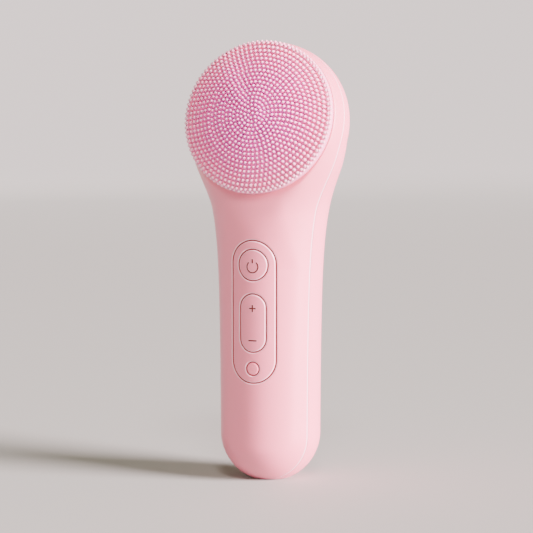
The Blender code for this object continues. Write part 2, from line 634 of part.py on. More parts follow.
def make_brush_head():
    crown = PAD_CROWN - PAD_EDGE
    ball = (PAD_EDGE_RADIUS**2 + crown**2) / (2 * crown)
    reaches = np.linspace(0, PAD_EDGE_RADIUS, END_SECTIONS)
    dome = [(r, PAD_CROWN - ball + math.sqrt(ball**2 - r * r)) for r in reaches]
    profile = [*dome, (PAD_RADIUS, PAD_SHOULDER), (PAD_RADIUS, PAD_BACK), (0, PAD_BACK)]
    turned("brush_pad", profile, "silicone", HEAD_FRAME)
    carrier = [
        (0, CARRIER_FRONT), (CARRIER_RADIUS, CARRIER_FRONT), (CARRIER_RADIUS, GROOVE_FRONT),
        (CARRIER_GROOVE, GROOVE_FRONT), (CARRIER_GROOVE, GROOVE_BACK), (CARRIER_RADIUS, GROOVE_BACK),
        (CARRIER_RADIUS, CARRIER_BACK), (CARRIER_INNER, CARRIER_BACK), (CARRIER_INNER, CARRIER_WEB),
        (0, CARRIER_WEB),
    ]
    turned("pad_carrier", carrier, "nylon", HEAD_FRAME)
    middle = (GROOVE_BACK + GROOVE_FRONT) / 2
    seal = ring_profile(CARRIER_SEAL_RADIUS, CARRIER_SEAL_THICK, ROUND_SIDES)
    turned("carrier_seal", seal, "rubber", HEAD_FRAME, closed=True, origin=(0, 0, middle))


# ---------------------------------------------------------------- control panel


def front_block(name, outline, start, material):
    """What an outline on the front face encloses, from start out to the body's skin."""
    item = prism(name, [outline], start, FAR, material, FACING_FRONT)
    skin = CUTTERS.objects.get("body_skin") or body_solid("body_skin", 0.0, 0.0)
    boolean(item, skin, "INTERSECT")
    return item


def add_stem(key, name, radius, back, height):
    """A round stem behind a key, down to the board."""
    stem = rod(name, radius, back, KEY_BACK + JOIN, 0, height, matrix=FACING_FRONT)
    boolean(key, stem, "UNION")


def make_panel():
    outline = stadium_points(PANEL_HALF_WIDTH, PANEL_HALF_LENGTH, 0, PANEL_HEIGHT)
    panel = front_block("control_panel", outline, PANEL_BACK, "shell")
    wide, tall = ROCKER_HALF_WIDTH + KEY_GAP, ROCKER_HALF_LENGTH + KEY_GAP
    openings = {
        "power_window": circle_points(POWER_RADIUS + KEY_GAP, 0, POWER_HEIGHT, SLOT_SIDES),
        "rocker_window": stadium_points(wide, tall, 0, ROCKER_HEIGHT),
        "light_window": circle_points(LIGHT_RADIUS + PANEL_GAP, 0, LIGHT_HEIGHT),
    }
    for name, opening in openings.items():
        boolean(panel, prism(name, [opening], 0.0, FAR, matrix=FACING_FRONT))
    centre = Vector((0, -ROCKER_PIN_FORWARD, ROCKER_HEIGHT)) * MM
    pin_place = Matrix.Translation(centre) @ Matrix.Rotation(math.radians(90), 4, "Y")
    end = ROCKER_PIN_HALF + CLEAR
    pin_hole = rod("pin_hole", ROCKER_PIN_RADIUS + ROCKER_PIN_CLEAR, -end, end, matrix=pin_place)
    boolean(panel, pin_hole)
    end = ROCKER_PIN_HALF
    rod("rocker_pin", ROCKER_PIN_RADIUS, -end, end, material="steel", matrix=pin_place)

    outline = circle_points(POWER_RADIUS, 0, POWER_HEIGHT, SLOT_SIDES)
    power = front_block("power_button", outline, KEY_BACK, "key")
    add_stem(power, "power_stem", POWER_STEM, STEM_BACK, POWER_HEIGHT)

    outline = stadium_points(ROCKER_HALF_WIDTH, ROCKER_HALF_LENGTH, 0, ROCKER_HEIGHT)
    rocker = front_block("intensity_rocker", outline, KEY_BACK, "key")
    add_stem(rocker, "plus_stem", ROCKER_STEM, STEM_BACK, PLUS_HEIGHT)
    add_stem(rocker, "minus_stem", ROCKER_STEM, STEM_BACK, MINUS_HEIGHT)
    boolean(rocker, pin_hole)

    outline = circle_points(LIGHT_RADIUS, 0, LIGHT_HEIGHT)
    lens = front_block("indicator_lens", outline, KEY_BACK, "lens")
    add_stem(lens, "light_stem", LIGHT_STEM, LIGHT_BACK, LIGHT_HEIGHT)

    wide, tall = PANEL_HALF_WIDTH - PANEL_SEAL_INSET, PANEL_HALF_LENGTH - PANEL_SEAL_INSET
    seal = [
        stadium_points(wide, tall, 0, PANEL_HEIGHT),
        circle_points(POWER_STEM + STEM_CLEAR, 0, POWER_HEIGHT),
        circle_points(ROCKER_STEM + STEM_CLEAR, 0, PLUS_HEIGHT),
        circle_points(ROCKER_STEM + STEM_CLEAR, 0, MINUS_HEIGHT),
        circle_points(LIGHT_STEM + STEM_CLEAR, 0, LIGHT_HEIGHT),
    ]
    prism("panel_seal", seal, PANEL_SEAL_BACK, PANEL_SEAL_FRONT, "gasket", FACING_FRONT)


# ---------------------------------------------------------------- electronics


def make_board():
    holes = [
        circle_points(SCREW_HOLE, side * BOARD_SCREW_X, BOARD_SCREW_HEIGHT) for side in (-1, 1)
    ]
    outline = rectangle_points(-BOARD_HALF_WIDTH, BOARD_HALF_WIDTH, BOARD_BOTTOM, BOARD_TOP)
    prism("main_board", [outline, *holes], BOARD_BACK, BOARD_FRONT, "board", FACING_FRONT)

    def on_board(name, x, height, wide, tall, thick, material):
        start = BOARD_FRONT + PART_GAP
        low = (x - wide / 2, height - tall / 2, start)
        high = (x + wide / 2, height + tall / 2, start + thick)
        return box(name, low, high, material, FACING_FRONT)

    switches = {"power_switch": POWER_HEIGHT, "plus_switch": PLUS_HEIGHT, "minus_switch": MINUS_HEIGHT}
    thick = SWITCH_TOP - BOARD_FRONT - PART_GAP
    start, end = SWITCH_TOP - JOIN, PLUNGER_TOP
    for name, height in switches.items():
        switch = on_board(name, 0, height, SWITCH_SIZE, SWITCH_SIZE, thick, "chip")
        plunger = rod(name + "_plunger", PLUNGER_RADIUS, start, end, 0, height, matrix=FACING_FRONT)
        boolean(switch, plunger, "UNION")
    for name, (x, height, wide, tall, thick, material) in BOARD_PARTS.items():
        on_board(name, x, height, wide, tall, thick, material)


def make_frame():
    wide, notch = FRAME_HALF_WIDTH, NOTCH_HALF_WIDTH
    outline = [
        (-wide, FRAME_BOTTOM), (wide, FRAME_BOTTOM), (wide, FRAME_TOP), (notch, FRAME_TOP),
        (notch, NOTCH_BOTTOM), (-notch, NOTCH_BOTTOM), (-notch, FRAME_TOP), (-wide, FRAME_TOP),
    ]
    holes = [circle_points(SCREW_HOLE, x, z, SCREW_SIDES) for x, z in frame_screw_places()]
    frame = prism("inner_frame", [outline, *holes], FRAME_BACK, FRAME_FRONT, "nylon", FACING_FRONT)
    walls = {
        "cradle_low": BATTERY_BOTTOM - CRADLE_GAP - CRADLE_WALL,
        "cradle_high": BATTERY_TOP + CRADLE_GAP,
    }
    for name, height in walls.items():
        low = (-CRADLE_HALF_WIDTH, -FRAME_BACK - JOIN, height)
        high = (CRADLE_HALF_WIDTH, CRADLE_REACH, height + CRADLE_WALL)
        boolean(frame, box(name, low, high), "UNION")
    for side in (-1, 1):
        place = (side * BOARD_SCREW_X, BOARD_SCREW_HEIGHT)
        start, end = FRAME_FRONT - JOIN, BOARD_BACK - CLEAR
        stand = rod(f"board_stand_{side}", BOARD_STAND_RADIUS, start, end, *place, matrix=FACING_FRONT)
        boolean(frame, stand, "UNION")
        start, end = FRAME_BACK - PAST, BOARD_FRONT
        pilot = rod(f"board_pilot_{side}", SCREW_HOLE, start, end, *place, matrix=FACING_FRONT)
        boolean(frame, pilot)


def make_battery():
    shoulder = BATTERY_TOP - TERMINAL_RISE
    cell = [
        (0, BATTERY_TOP), (TERMINAL_RADIUS, BATTERY_TOP), (TERMINAL_RADIUS, shoulder),
        (BATTERY_RADIUS - BATTERY_EDGE, shoulder), (BATTERY_RADIUS, shoulder - BATTERY_EDGE),
        (BATTERY_RADIUS, BATTERY_BOTTOM + BATTERY_EDGE), (BATTERY_RADIUS - BATTERY_EDGE, BATTERY_BOTTOM),
        (0, BATTERY_BOTTOM),
    ]
    turned("battery_cell", cell, "battery", sides=CELL_SIDES, origin=(0, BATTERY_Y, 0))
    tabs = {
        "battery_tab_plus": BATTERY_TOP + TAB_GAP,
        "battery_tab_minus": BATTERY_BOTTOM - TAB_GAP - TAB_THICK,
    }
    for name, height in tabs.items():
        low = (-TAB_HALF_WIDTH, BATTERY_Y - TAB_HALF_DEPTH, height)
        high = (TAB_HALF_WIDTH, BATTERY_Y + TAB_HALF_DEPTH, height + TAB_THICK)
        box(name, low, high, "steel")
    low = (-FOAM_HALF_WIDTH, BATTERY_Y + BATTERY_RADIUS + CLEAR, FOAM_BOTTOM)
    high = (FOAM_HALF_WIDTH, FOAM_Y, FOAM_TOP)
    box("battery_foam", low, high, "foam")


def make_motor():
    can = [
        (0, MOTOR_TOP), (MOTOR_RADIUS - MOTOR_EDGE, MOTOR_TOP), (MOTOR_RADIUS, MOTOR_TOP - MOTOR_EDGE),
        (MOTOR_RADIUS, MOTOR_BOTTOM), (0, MOTOR_BOTTOM),
    ]
    place = (0, MOTOR_Y, 0)
    turned("motor_can", can, "steel", sides=CELL_SIDES, origin=place)
    high = MOTOR_BOTTOM - CLEAR
    low = high - END_CAP_THICK
    end = [(0, high), (END_CAP_RADIUS, high), (END_CAP_RADIUS, low), (0, low)]
    turned("motor_end_cap", end, "nylon", sides=SLOT_SIDES, origin=place)
    bearing = [
        (BEARING_BORE, BEARING_HIGH), (BEARING_RADIUS, BEARING_HIGH),
        (BEARING_RADIUS, BEARING_LOW), (BEARING_BORE, BEARING_LOW),
    ]
    turned("motor_bearing", bearing, "brass", closed=True, sides=SLOT_SIDES, origin=place)
    shaft = [(0, SHAFT_TOP), (SHAFT_RADIUS, SHAFT_TOP), (SHAFT_RADIUS, SHAFT_BOTTOM), (0, SHAFT_BOTTOM)]
    turned("motor_shaft", shaft, "steel", sides=SMALL_SIDES, origin=place)
    make_weight()
    sleeve = [
        (SLEEVE_INNER, SLEEVE_TOP), (SLEEVE_OUTER, SLEEVE_TOP),
        (SLEEVE_OUTER, SLEEVE_BOTTOM), (SLEEVE_INNER, SLEEVE_BOTTOM),
    ]
    turned("motor_sleeve", sleeve, "rubber", closed=True, sides=CELL_SIDES, origin=place)
    make_bracket()


def arc_points(radius, start, end, steps):
    angles = [start + (end - start) * i / steps for i in range(steps + 1)]
    return [(radius * math.cos(a), radius * math.sin(a)) for a in angles]


def make_weight():
    """A half disc on the shaft, whose uneven mass makes the head vibrate."""
    half = arc_points(WEIGHT_RADIUS, 0, math.pi, SCREW_SIDES)
    hub = arc_points(WEIGHT_HUB, math.pi, 2 * math.pi, ROUND_SIDES)
    bore = circle_points(WEIGHT_BORE)
    stand = Matrix.Translation((0, MOTOR_Y * MM, 0))
    prism("eccentric_weight", [half + hub, bore], WEIGHT_BOTTOM, WEIGHT_TOP, "brass", stand)


def make_bracket():
    """A ring round the motor's sleeve, with an ear on each side for its screw."""
    stand = Matrix.Translation((0, MOTOR_Y * MM, 0))
    half = BRACKET_EAR / 2
    start = math.asin(half / BRACKET_OUTER)
    rear = arc_points(BRACKET_OUTER, start, math.pi - start, SCREW_SIDES)
    front = arc_points(BRACKET_OUTER, math.pi + start, 2 * math.pi - start, SCREW_SIDES)
    left = [(-BRACKET_REACH, half), (-BRACKET_REACH, -half)]
    right = [(BRACKET_REACH, -half), (BRACKET_REACH, half)]
    outline = [*right, *rear, *left, *front]
    inside = circle_points(BRACKET_INNER, sides=CELL_SIDES)
    bracket = prism("motor_bracket", [outline, inside], BRACKET_BOTTOM, BRACKET_TOP, "nylon", stand)
    middle = (BRACKET_BOTTOM + BRACKET_TOP) / 2
    reach = MOTOR_RADIUS
    for side in (-1, 1):
        x = side * BRACKET_SCREW_X
        hole = rod(f"bracket_hole_{side}", SCREW_HOLE, -reach, reach, x, middle, matrix=FACING_FRONT)
        boolean(bracket, hole)


def screw(name, x, height, seat, length, pointing_back):
    """A screw whose head rests at the forward distance seat."""
    profile = [
        (0, SCREW_HEAD_THICK), (SCREW_HEAD_TOP, SCREW_HEAD_THICK), (SCREW_HEAD, SCREW_HEAD_SIDE),
        (SCREW_HEAD, 0), (SCREW_RADIUS, 0), (SCREW_RADIUS, SCREW_POINT_LENGTH - length),
        (SCREW_POINT, -length), (0, -length),
    ]
    turn = math.radians(90 if pointing_back else -90)
    place = Matrix.Translation(Vector((x, -seat, height)) * MM) @ Matrix.Rotation(turn, 4, "X")
    turned(name, profile, "steel", place, sides=SCREW_SIDES)


def make_screws():
    seat = FRAME_BACK - SCREW_SEAT_GAP
    for i, (x, height) in enumerate(frame_screw_places()):
        screw(f"frame_screw_{i + 1}", x, height, seat, LONG_SCREW, False)
    seat = BOARD_FRONT + SCREW_SEAT_GAP
    for name, side in (("board_screw_left", -1), ("board_screw_right", 1)):
        screw(name, side * BOARD_SCREW_X, BOARD_SCREW_HEIGHT, seat, SHORT_SCREW, True)
    middle = (BRACKET_BOTTOM + BRACKET_TOP) / 2
    seat = -MOTOR_Y + BRACKET_EAR / 2 + SCREW_SEAT_GAP
    for name, side in (("bracket_screw_left", -1), ("bracket_screw_right", 1)):
        screw(name, side * BRACKET_SCREW_X, middle, seat, LONG_SCREW, True)


def make_leads():
    for name, route in LEAD_ROUTES.items():
        lead(name, route, "red_lead" if name.endswith("red") else "black_lead")


make_front_shell()
make_rear_shell()
make_seam_gasket()
make_base()
make_brush_head()
make_panel()
make_board()
make_frame()
make_battery()
make_motor()
make_screws()
make_leads()
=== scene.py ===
"""Facial cleansing brush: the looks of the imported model.

Works in millimetres in the row frame (+Z up the handle, -Y the front) and turns them into metres at
the end. "Forward" is the distance along -Y. The head has an axis of its own, which crosses the
handle's axis at HEAD_HEIGHT and rises by HEAD_TILT; "along" is the distance along it, and "out" the
distance from it.
"""

import json
import math

import bmesh
import bpy
import numpy as np
from mathutils import Matrix, Vector


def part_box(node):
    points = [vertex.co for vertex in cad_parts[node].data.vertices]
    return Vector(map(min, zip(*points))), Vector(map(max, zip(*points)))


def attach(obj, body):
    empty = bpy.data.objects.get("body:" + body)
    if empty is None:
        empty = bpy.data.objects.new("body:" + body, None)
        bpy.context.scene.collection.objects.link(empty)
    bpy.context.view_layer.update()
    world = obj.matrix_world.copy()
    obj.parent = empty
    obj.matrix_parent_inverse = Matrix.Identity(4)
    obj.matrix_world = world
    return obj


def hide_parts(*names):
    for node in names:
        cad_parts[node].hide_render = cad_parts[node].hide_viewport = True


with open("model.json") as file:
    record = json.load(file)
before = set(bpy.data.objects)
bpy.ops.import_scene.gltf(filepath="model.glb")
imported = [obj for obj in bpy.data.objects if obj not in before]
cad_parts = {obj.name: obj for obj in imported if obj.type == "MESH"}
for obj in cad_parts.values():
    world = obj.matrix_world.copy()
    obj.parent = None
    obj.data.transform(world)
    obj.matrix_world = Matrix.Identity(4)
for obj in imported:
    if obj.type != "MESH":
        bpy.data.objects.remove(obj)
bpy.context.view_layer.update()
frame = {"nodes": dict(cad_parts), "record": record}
MM = 0.001


# ---------------------------------------------------------------- dimensions, from the frame


def cad_box(node):
    low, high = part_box(node)
    return np.array(low) / MM, np.array(high) / MM


def joint_named(name):
    return next(joint for joint in frame["record"]["behaviour"]["joints"] if joint["name"] == name)


HEAD_AXIS = np.array(joint_named("head_pull")["axis"])
HEAD_TILT = math.asin(HEAD_AXIS[2])
PANEL_LOW, PANEL_HIGH = cad_box("control_panel")
POWER_LOW, POWER_HIGH = cad_box("power_button")
ROCKER_LOW, ROCKER_HIGH = cad_box("intensity_rocker")
LIGHT_LOW, LIGHT_HIGH = cad_box("indicator_lens")

# Handle and neck
HANDLE_RADIUS, HANDLE_TAPER = 18.8, 0.2
TAPER_FROM, TAPER_TO = 20.0, 70.0
BASE_FLAT_RADIUS = 7.5
BASE_CENTRE = math.sqrt(HANDLE_RADIUS**2 - BASE_FLAT_RADIUS**2)
FLARE_WIDTH, FLARE_HEIGHT, FLARE_LENGTH = 1.2, 85.0, 16.0
FLARE_TOP, FLARE_FADE = 125.0, 10.0
NECK_TOP, NECK_FADE, NECK_ENDS = 104.0, 32.5, 128.0
NECK_BLEND, NECK_SOFT = 8.0, 4.0

# Front face
FRONT_DEPTH = -PANEL_LOW[1]
FRONT_CURVE = 0.0263
FRONT_OPENS, FRONT_OPEN_AT = 80.0, 118.0
FRONT_EDGE = 0.5

# Head
HEAD_HEIGHT = 132.5
HEAD_RADIUS, HEAD_WIDEST, HEAD_BACK = 30.9, 1.4, 20.0
RIM_ALONG, RIM_RADIUS = 10.75, 29.1
SIDE_CURVE = (HEAD_RADIUS - RIM_RADIUS) / (RIM_ALONG - HEAD_WIDEST) ** 2
RIM_EDGE, LIP_EDGE = 0.7, 2.6
LIP_TOP, LIP_HEIGHT = 112.0, 5.0
POCKET_RADIUS, POCKET_FLOOR = 26.2, 6.6

# Parting line and walls
SEAM_FORWARD, SEAM_ALONG, SEAM_BLEND = 7.0, 4.45, 3.0
SEAM_HALF_GAP = 0.32
BEAD_HALF, BEAD_DROP, BEAD_CURVE, BEAD_THICK, BEAD_ENDS = 0.25, 0.03, 0.1, 1.0, 0.5
WALL = 1.4
CAP_HOLE, CAP_BELOW = 9.3, 20.0
EDGE_ROUND = 0.22
CHAMFER_WIDTH, CHAMFER_DEPTH = 0.42, 0.36
EDGE_STEPS = (0.1, 0.2, 0.31, CHAMFER_WIDTH, 0.55)
RIM_STEPS, RIM_TURN, POCKET_SINK = (-0.7, -0.35, 0.0, 0.35, 0.7), 0.4, 2.5

# Keys
KEY_GAP, KEY_THICK, PANEL_THICK = 0.28, 0.8, 1.2
TROUGH_DEPTH, TROUGH_REACH, TROUGH_THICK = 1.7, 0.8, 0.4
PANEL_HEIGHT = (PANEL_LOW[2] + PANEL_HIGH[2]) / 2
PANEL_HALF = (PANEL_HIGH[0], (PANEL_HIGH[2] - PANEL_LOW[2]) / 2)
POWER_HEIGHT = (POWER_LOW[2] + POWER_HIGH[2]) / 2
POWER_RADIUS = POWER_HIGH[0]
ROCKER_HEIGHT = (ROCKER_LOW[2] + ROCKER_HIGH[2]) / 2
ROCKER_HALF = (ROCKER_HIGH[0], (ROCKER_HIGH[2] - ROCKER_LOW[2]) / 2)
LIGHT_HEIGHT = (LIGHT_LOW[2] + LIGHT_HIGH[2]) / 2
LIGHT_RADIUS = LIGHT_HIGH[0]
PANEL_MARGIN, PANEL_REACH = 1, 3

# How deep under the skin the grooves' painted shade and the bevels' gloss and painted highlight begin,
# end and fade
GROOVE_FROM, GROOVE_FADE = 0.2, 0.12
GLOSS_FROM, GLOSS_RISE, GLOSS_TO, GLOSS_FALL = 0.01, 0.04, 0.24, 0.05

# Symbols
# Layers in front of the face for the dark strokes and for their pale edges; the pale edge is a painted
# highlight.
STROKE_LAYER, HIGHLIGHT_LAYER = (0.0, 0.05), (-0.02, 0.025)
SYMBOL_EDGE = 0.12
RING_RADIUS, RING_HALF, RING_OPENING, RING_DROP = 2.15, 0.27, math.radians(41), 0.65
RING_STEPS, SYMBOL_CUTS = 49, 5
STROKE_WIDTH, STROKE_TALL, STROKE_RISE = 0.58, 1.6, 2.1
PLUS_RISE, PLUS_ARM, PLUS_HALF = 5.45, 1.35, 0.29
MINUS_DROP, MINUS_WIDTH, MINUS_TALL = 6.45, 3.3, 0.56

# Bristles
RINGS, RING_PITCH, TIP_PITCH = 19, (1.62, 1.42), (1.78, 1.52)
TIP_SIZES = (0.66, 0.62, 0.56, 0.51, 0.48)
EDGE_RING, EDGE_ALONG, EDGE_LEAN = 28.4, 13.9, math.radians(40)
EDGE_REACH, EDGE_SIZE, EDGE_SPREAD = 1.3, 0.6, 0.3
TIP_RING, TIP_EDGE, TIP_CROWN = 27.75, 14.9, 19.2
SKIRT_RADIUS, SKIRT_BACK, SKIRT_TOP = 28.85, 11.05, 12.9
# The skirt's rounded back edge: how far in from its radius, and how far in front of its back
SKIRT_EDGE = ((1.2, 0.2), (0.3, 0.25), (0.0, 0.55))
SHOULDER_TURN, SHOULDER_STEPS, SHOULDER_RISE, SHOULDER_NEAR = 80, 9, 0.6, 0.3
PAD_STEPS, PAD_INSET = 40, 0.15
EDGE_LENGTH, MIDDLE_LENGTH = 0.95, 1.45
ROOT_DEPTH, MIDDLE_THINNER, BRISTLE_SIDES = 0.25, 0.05, 12
LEAN_MIDDLE, LEAN_MORE = 0.015, 0.035
SEED, WIDTH_VARIES, LENGTH_VARIES, SPREAD_LOSS = 7, (0.96, 1.04), (0.985, 1.0), 0.6
# A bristle's flare: how wide it is, as a multiple of its own width, at a share of its length
ROOT_FLARE = ((1.75, 0.0), (1.56, 0.15), (1.36, 0.34))
WAIST, WAIST_AT, WAIST_DROP = 0.17, 0.54, 1.6
SHAFT_WIDTH, SHAFT_BELOW, TIP_ANGLES = 1.02, 0.95, (12, 32, 52, 72)

# Grid
ROW_STEP, KEY_ROW_STEP, COLUMNS = 0.62, 0.4, 300
CROWN_FROM, BASE_ROWS, CROWN_ROWS = 150.0, 40, 42
FARTHEST, HALVINGS, CROWN_HALVINGS = 70.0, 34, 40
FAR, NUDGE, LONG_EDGE = 99.0, 0.004, 0.3 * MM
MERGE, SLIVER = 0.02 * MM, 0.005 * MM


# ---------------------------------------------------------------- body surface


def smooth_min(a, b, width):
    mix = np.maximum(width - np.abs(a - b), 0.0) / width
    return np.minimum(a, b) - mix * mix * width / 4


def smooth_max(a, b, width):
    return -smooth_min(-a, -b, width)


def head_place(points):
    """Distance along the head's axis, and distance from it."""
    forward, height = -points[..., 1], points[..., 2] - HEAD_HEIGHT
    along = forward * math.cos(HEAD_TILT) + height * math.sin(HEAD_TILT)
    up = -forward * math.sin(HEAD_TILT) + height * math.cos(HEAD_TILT)
    return along, np.hypot(points[..., 0], up)


def body_depth(points):
    """How deep a point lies under the skin, roughly; below zero outside."""
    x, y, z = points[..., 0], points[..., 1], points[..., 2]
    reach = np.hypot(x, y)
    half_depth = HANDLE_RADIUS + HANDLE_TAPER * np.clip((z - TAPER_FROM) / (TAPER_TO - TAPER_FROM), 0, 1)
    widening = smooth_min(z, np.full_like(z, FLARE_TOP), FLARE_FADE) - FLARE_HEIGHT
    half_width = half_depth + FLARE_WIDTH * np.exp(widening / FLARE_LENGTH)
    across, toward = x / np.maximum(reach, 1e-6), y / np.maximum(reach, 1e-6)
    oval = 1 / np.sqrt((across / half_width) ** 2 + (toward / half_depth) ** 2 + 1e-9)
    fade = np.sqrt(np.clip(1 - np.clip((z - NECK_TOP) / NECK_FADE, 0, 1) ** 2, 0, 1))
    handle = oval * fade - np.hypot(reach, np.maximum(BASE_CENTRE - z, 0.0))
    above = np.maximum(z - NECK_ENDS + NECK_SOFT, 0.0)
    handle = handle - np.where(above < 2 * NECK_SOFT, above**2 / (4 * NECK_SOFT), above - NECK_SOFT)
    opening = np.clip((FRONT_OPEN_AT - z) / (FRONT_OPEN_AT - FRONT_OPENS), 0, 1)
    face = FRONT_DEPTH - FRONT_CURVE * opening * x * x + y
    along, out = head_place(points)
    behind = along - HEAD_WIDEST
    ratio = np.hypot(out / HEAD_RADIUS, behind / HEAD_BACK) + 1e-9
    slope = np.hypot(out / HEAD_RADIUS**2, behind / HEAD_BACK**2) + 1e-9
    head = np.where(behind > 0, HEAD_RADIUS - SIDE_CURVE * behind**2 - out, -ratio * (ratio - 1) / slope)
    return smooth_max(smooth_min(handle, face, FRONT_EDGE), head, NECK_BLEND)


def flatten_rim(points):
    """Brings what lies beyond the rim's plane back to it, with a round edge, softer at the lip."""
    along, _ = head_place(points)
    near_lip = np.clip((LIP_TOP - points[..., 2]) / LIP_HEIGHT, 0, 1)
    edge = RIM_EDGE + (LIP_EDGE - RIM_EDGE) * near_lip
    level = smooth_min(along, np.full_like(along, RIM_ALONG), edge)
    return points + (level - along)[..., None] * HEAD_AXIS


def skin_radius(height, angle):
    """Distance from the handle's axis to the skin, at a height and a direction from the front."""
    low, high = np.zeros_like(height), np.full_like(height, FARTHEST)
    for _ in range(HALVINGS):
        middle = (low + high) / 2
        place = np.stack([middle * np.sin(angle), -middle * np.cos(angle), height], axis=-1)
        inside = body_depth(place) > 0
        low, high = np.where(inside, middle, low), np.where(inside, high, middle)
    return low


def crown_height():
    low, high = HEAD_HEIGHT, HEAD_HEIGHT + 2 * HEAD_RADIUS
    for _ in range(CROWN_HALVINGS):
        middle = (low + high) / 2
        inside = body_depth(np.array([0.0, 0.0, middle])) > 0
        low, high = (middle, high) if inside else (low, middle)
    return low


def skin_normal(points):
    step = 0.02
    slopes = []
    for axis in np.eye(3):
        slopes.append(body_depth(points - axis * step) - body_depth(points + axis * step))
    normal = np.stack(slopes, axis=-1)
    return normal / np.maximum(np.linalg.norm(normal, axis=-1, keepdims=True), 1e-9)


def seam_offset(points):
    """How far a point lies in front of the surface where the shells part."""
    height = points[..., 2]
    on_head = (SEAM_ALONG - (height - HEAD_HEIGHT) * math.sin(HEAD_TILT)) / math.cos(HEAD_TILT)
    return -points[..., 1] - smooth_min(np.full_like(on_head, SEAM_FORWARD), on_head, SEAM_BLEND)


def stadium(points, half, height):
    """Signed distance to a slot outline on the front face; far away behind it."""
    x, up = points[..., 0], points[..., 2] - height
    straight = half[1] - half[0]
    distance = np.hypot(x, np.maximum(np.abs(up) - straight, 0.0)) - half[0]
    return np.where(points[..., 1] < 0, distance, FAR)


def cap_distance(points):
    """Distance from the handle's axis at its bottom; far away above it."""
    return np.where(points[..., 2] < CAP_BELOW, np.hypot(points[..., 0], points[..., 1]), FAR)


def panel_distance(points):
    return stadium(points, PANEL_HALF, PANEL_HEIGHT)


def power_distance(points):
    return stadium(points, (POWER_RADIUS, POWER_RADIUS), POWER_HEIGHT)


def rocker_distance(points):
    return stadium(points, ROCKER_HALF, ROCKER_HEIGHT)


def light_distance(points):
    return stadium(points, (LIGHT_RADIUS, LIGHT_RADIUS), LIGHT_HEIGHT)


# ---------------------------------------------------------------- surface sheets


class Sheet:
    """An open surface as points and faces, which can be cut along the level lines of a field."""

    def __init__(self, points, faces):
        self.points = points
        self.faces = faces

    def copy(self):
        return Sheet(self.points.copy(), [list(face) for face in self.faces])

    def score(self, field, level):
        """Adds an edge along the line where the field has the level."""
        value = field(self.points) - level
        value = np.where(np.abs(value) < NUDGE, NUDGE, value)
        points = list(self.points)
        made = {}

        def crossing(i, j):
            key = (min(i, j), max(i, j))
            if key not in made:
                share = value[i] / (value[i] - value[j])
                made[key] = len(points)
                points.append(self.points[i] + (self.points[j] - self.points[i]) * share)
            return made[key]

        faces = []
        for face in self.faces:
            signs = [value[i] > 0 for i in face]
            if all(signs) or not any(signs):
                faces.append(face)
                continue
            inner, outer = [], []
            for i, j, first, second in zip(face, face[1:] + face[:1], signs, signs[1:] + signs[:1]):
                (outer if first else inner).append(i)
                if first != second:
                    middle = crossing(i, j)
                    inner.append(middle)
                    outer.append(middle)
            faces += [part for part in (inner, outer) if len(part) > 2]
        self.points = np.array(points)
        self.faces = faces
        return self

    def keep(self, field, level, above=True):
        """Cuts the sheet along a level line and keeps one side of it."""
        self.score(field, level)
        value = field(self.points) - level
        kept = []
        for face in self.faces:
            middle = sum(value[i] for i in face) / len(face)
            if (middle > 0) == above:
                kept.append(face)
        used = sorted({i for face in kept for i in face})
        new = {old: i for i, old in enumerate(used)}
        self.points = self.points[used]
        self.faces = [[new[i] for i in face] for face in kept]
        return self

    def sink(self, amount):
        """Moves the points inwards, along the skin's normal, by an amount worked out at each."""
        self.points = self.points - skin_normal(self.points) * amount(self.points)[:, None]
        return self

    def shell(self, wall, inward=None):
        """The sheet as a closed wall."""
        if inward is None:
            inward = skin_normal(self.points)
        bm = bmesh.new()
        outer = [bm.verts.new(Vector(p) * MM) for p in self.points]
        inner = [bm.verts.new(Vector(p) * MM) for p in self.points - inward * wall]
        sides = {}
        for face in self.faces:
            bm.faces.new([outer[i] for i in face])
            bm.faces.new([inner[i] for i in reversed(face)])
            for i, j in zip(face, face[1:] + face[:1]):
                sides[(i, j)] = True
        for i, j in sides:
            if (j, i) not in sides:
                bm.faces.new((outer[j], outer[i], inner[i], inner[j]))
        return bm


def body_sheet():
    """The whole skin, as a grid round the handle's axis."""
    top = crown_height()
    round_base = np.linspace(math.asin(BASE_FLAT_RADIUS / HANDLE_RADIUS), math.pi / 2, BASE_ROWS)
    base = BASE_CENTRE - HANDLE_RADIUS * np.cos(round_base)
    keys_from, keys_to = PANEL_LOW[2] - PANEL_MARGIN, PANEL_HIGH[2] + PANEL_MARGIN
    middle = np.concatenate([
        np.arange(BASE_CENTRE + ROW_STEP, keys_from, ROW_STEP),
        np.arange(keys_from, keys_to, KEY_ROW_STEP),
        np.arange(keys_to, CROWN_FROM, ROW_STEP),
    ])
    crown = top - (top - CROWN_FROM) * (1 - np.sin(np.linspace(0, math.pi / 2, CROWN_ROWS)))[:-1]
    levels = np.concatenate([base, middle, crown])
    angles = np.linspace(0, 2 * math.pi, COLUMNS, endpoint=False)
    height, angle = np.meshgrid(levels, angles, indexing="ij")
    reach = skin_radius(height, angle)
    points = np.stack([reach * np.sin(angle), -reach * np.cos(angle), height], axis=-1).reshape(-1, 3)
    points = np.vstack([points, [[0.0, 0.0, top]]])
    faces = []
    for row in range(len(levels) - 1):
        for column in range(COLUMNS):
            after = (column + 1) % COLUMNS
            low, high = row * COLUMNS, (row + 1) * COLUMNS
            faces.append([low + column, low + after, high + after, high + column])
    last = (len(levels) - 1) * COLUMNS
    for column in range(COLUMNS):
        faces.append([last + column, last + (column + 1) % COLUMNS, len(points) - 1])
    return Sheet(points, faces)


def rounding(distance, radius=EDGE_ROUND):
    """How far a round edge drops at a distance from it."""
    near = np.clip(1 - distance / radius, 0, 1)
    return radius * (1 - np.sqrt(np.clip(1 - near**2, 0, 1)))


def chamfer(distance):
    """How far a key's bevelled edge drops at a distance from it."""
    share = np.clip(1 - distance / CHAMFER_WIDTH, 0, 1)
    return CHAMFER_DEPTH * (share + share**2) / 2


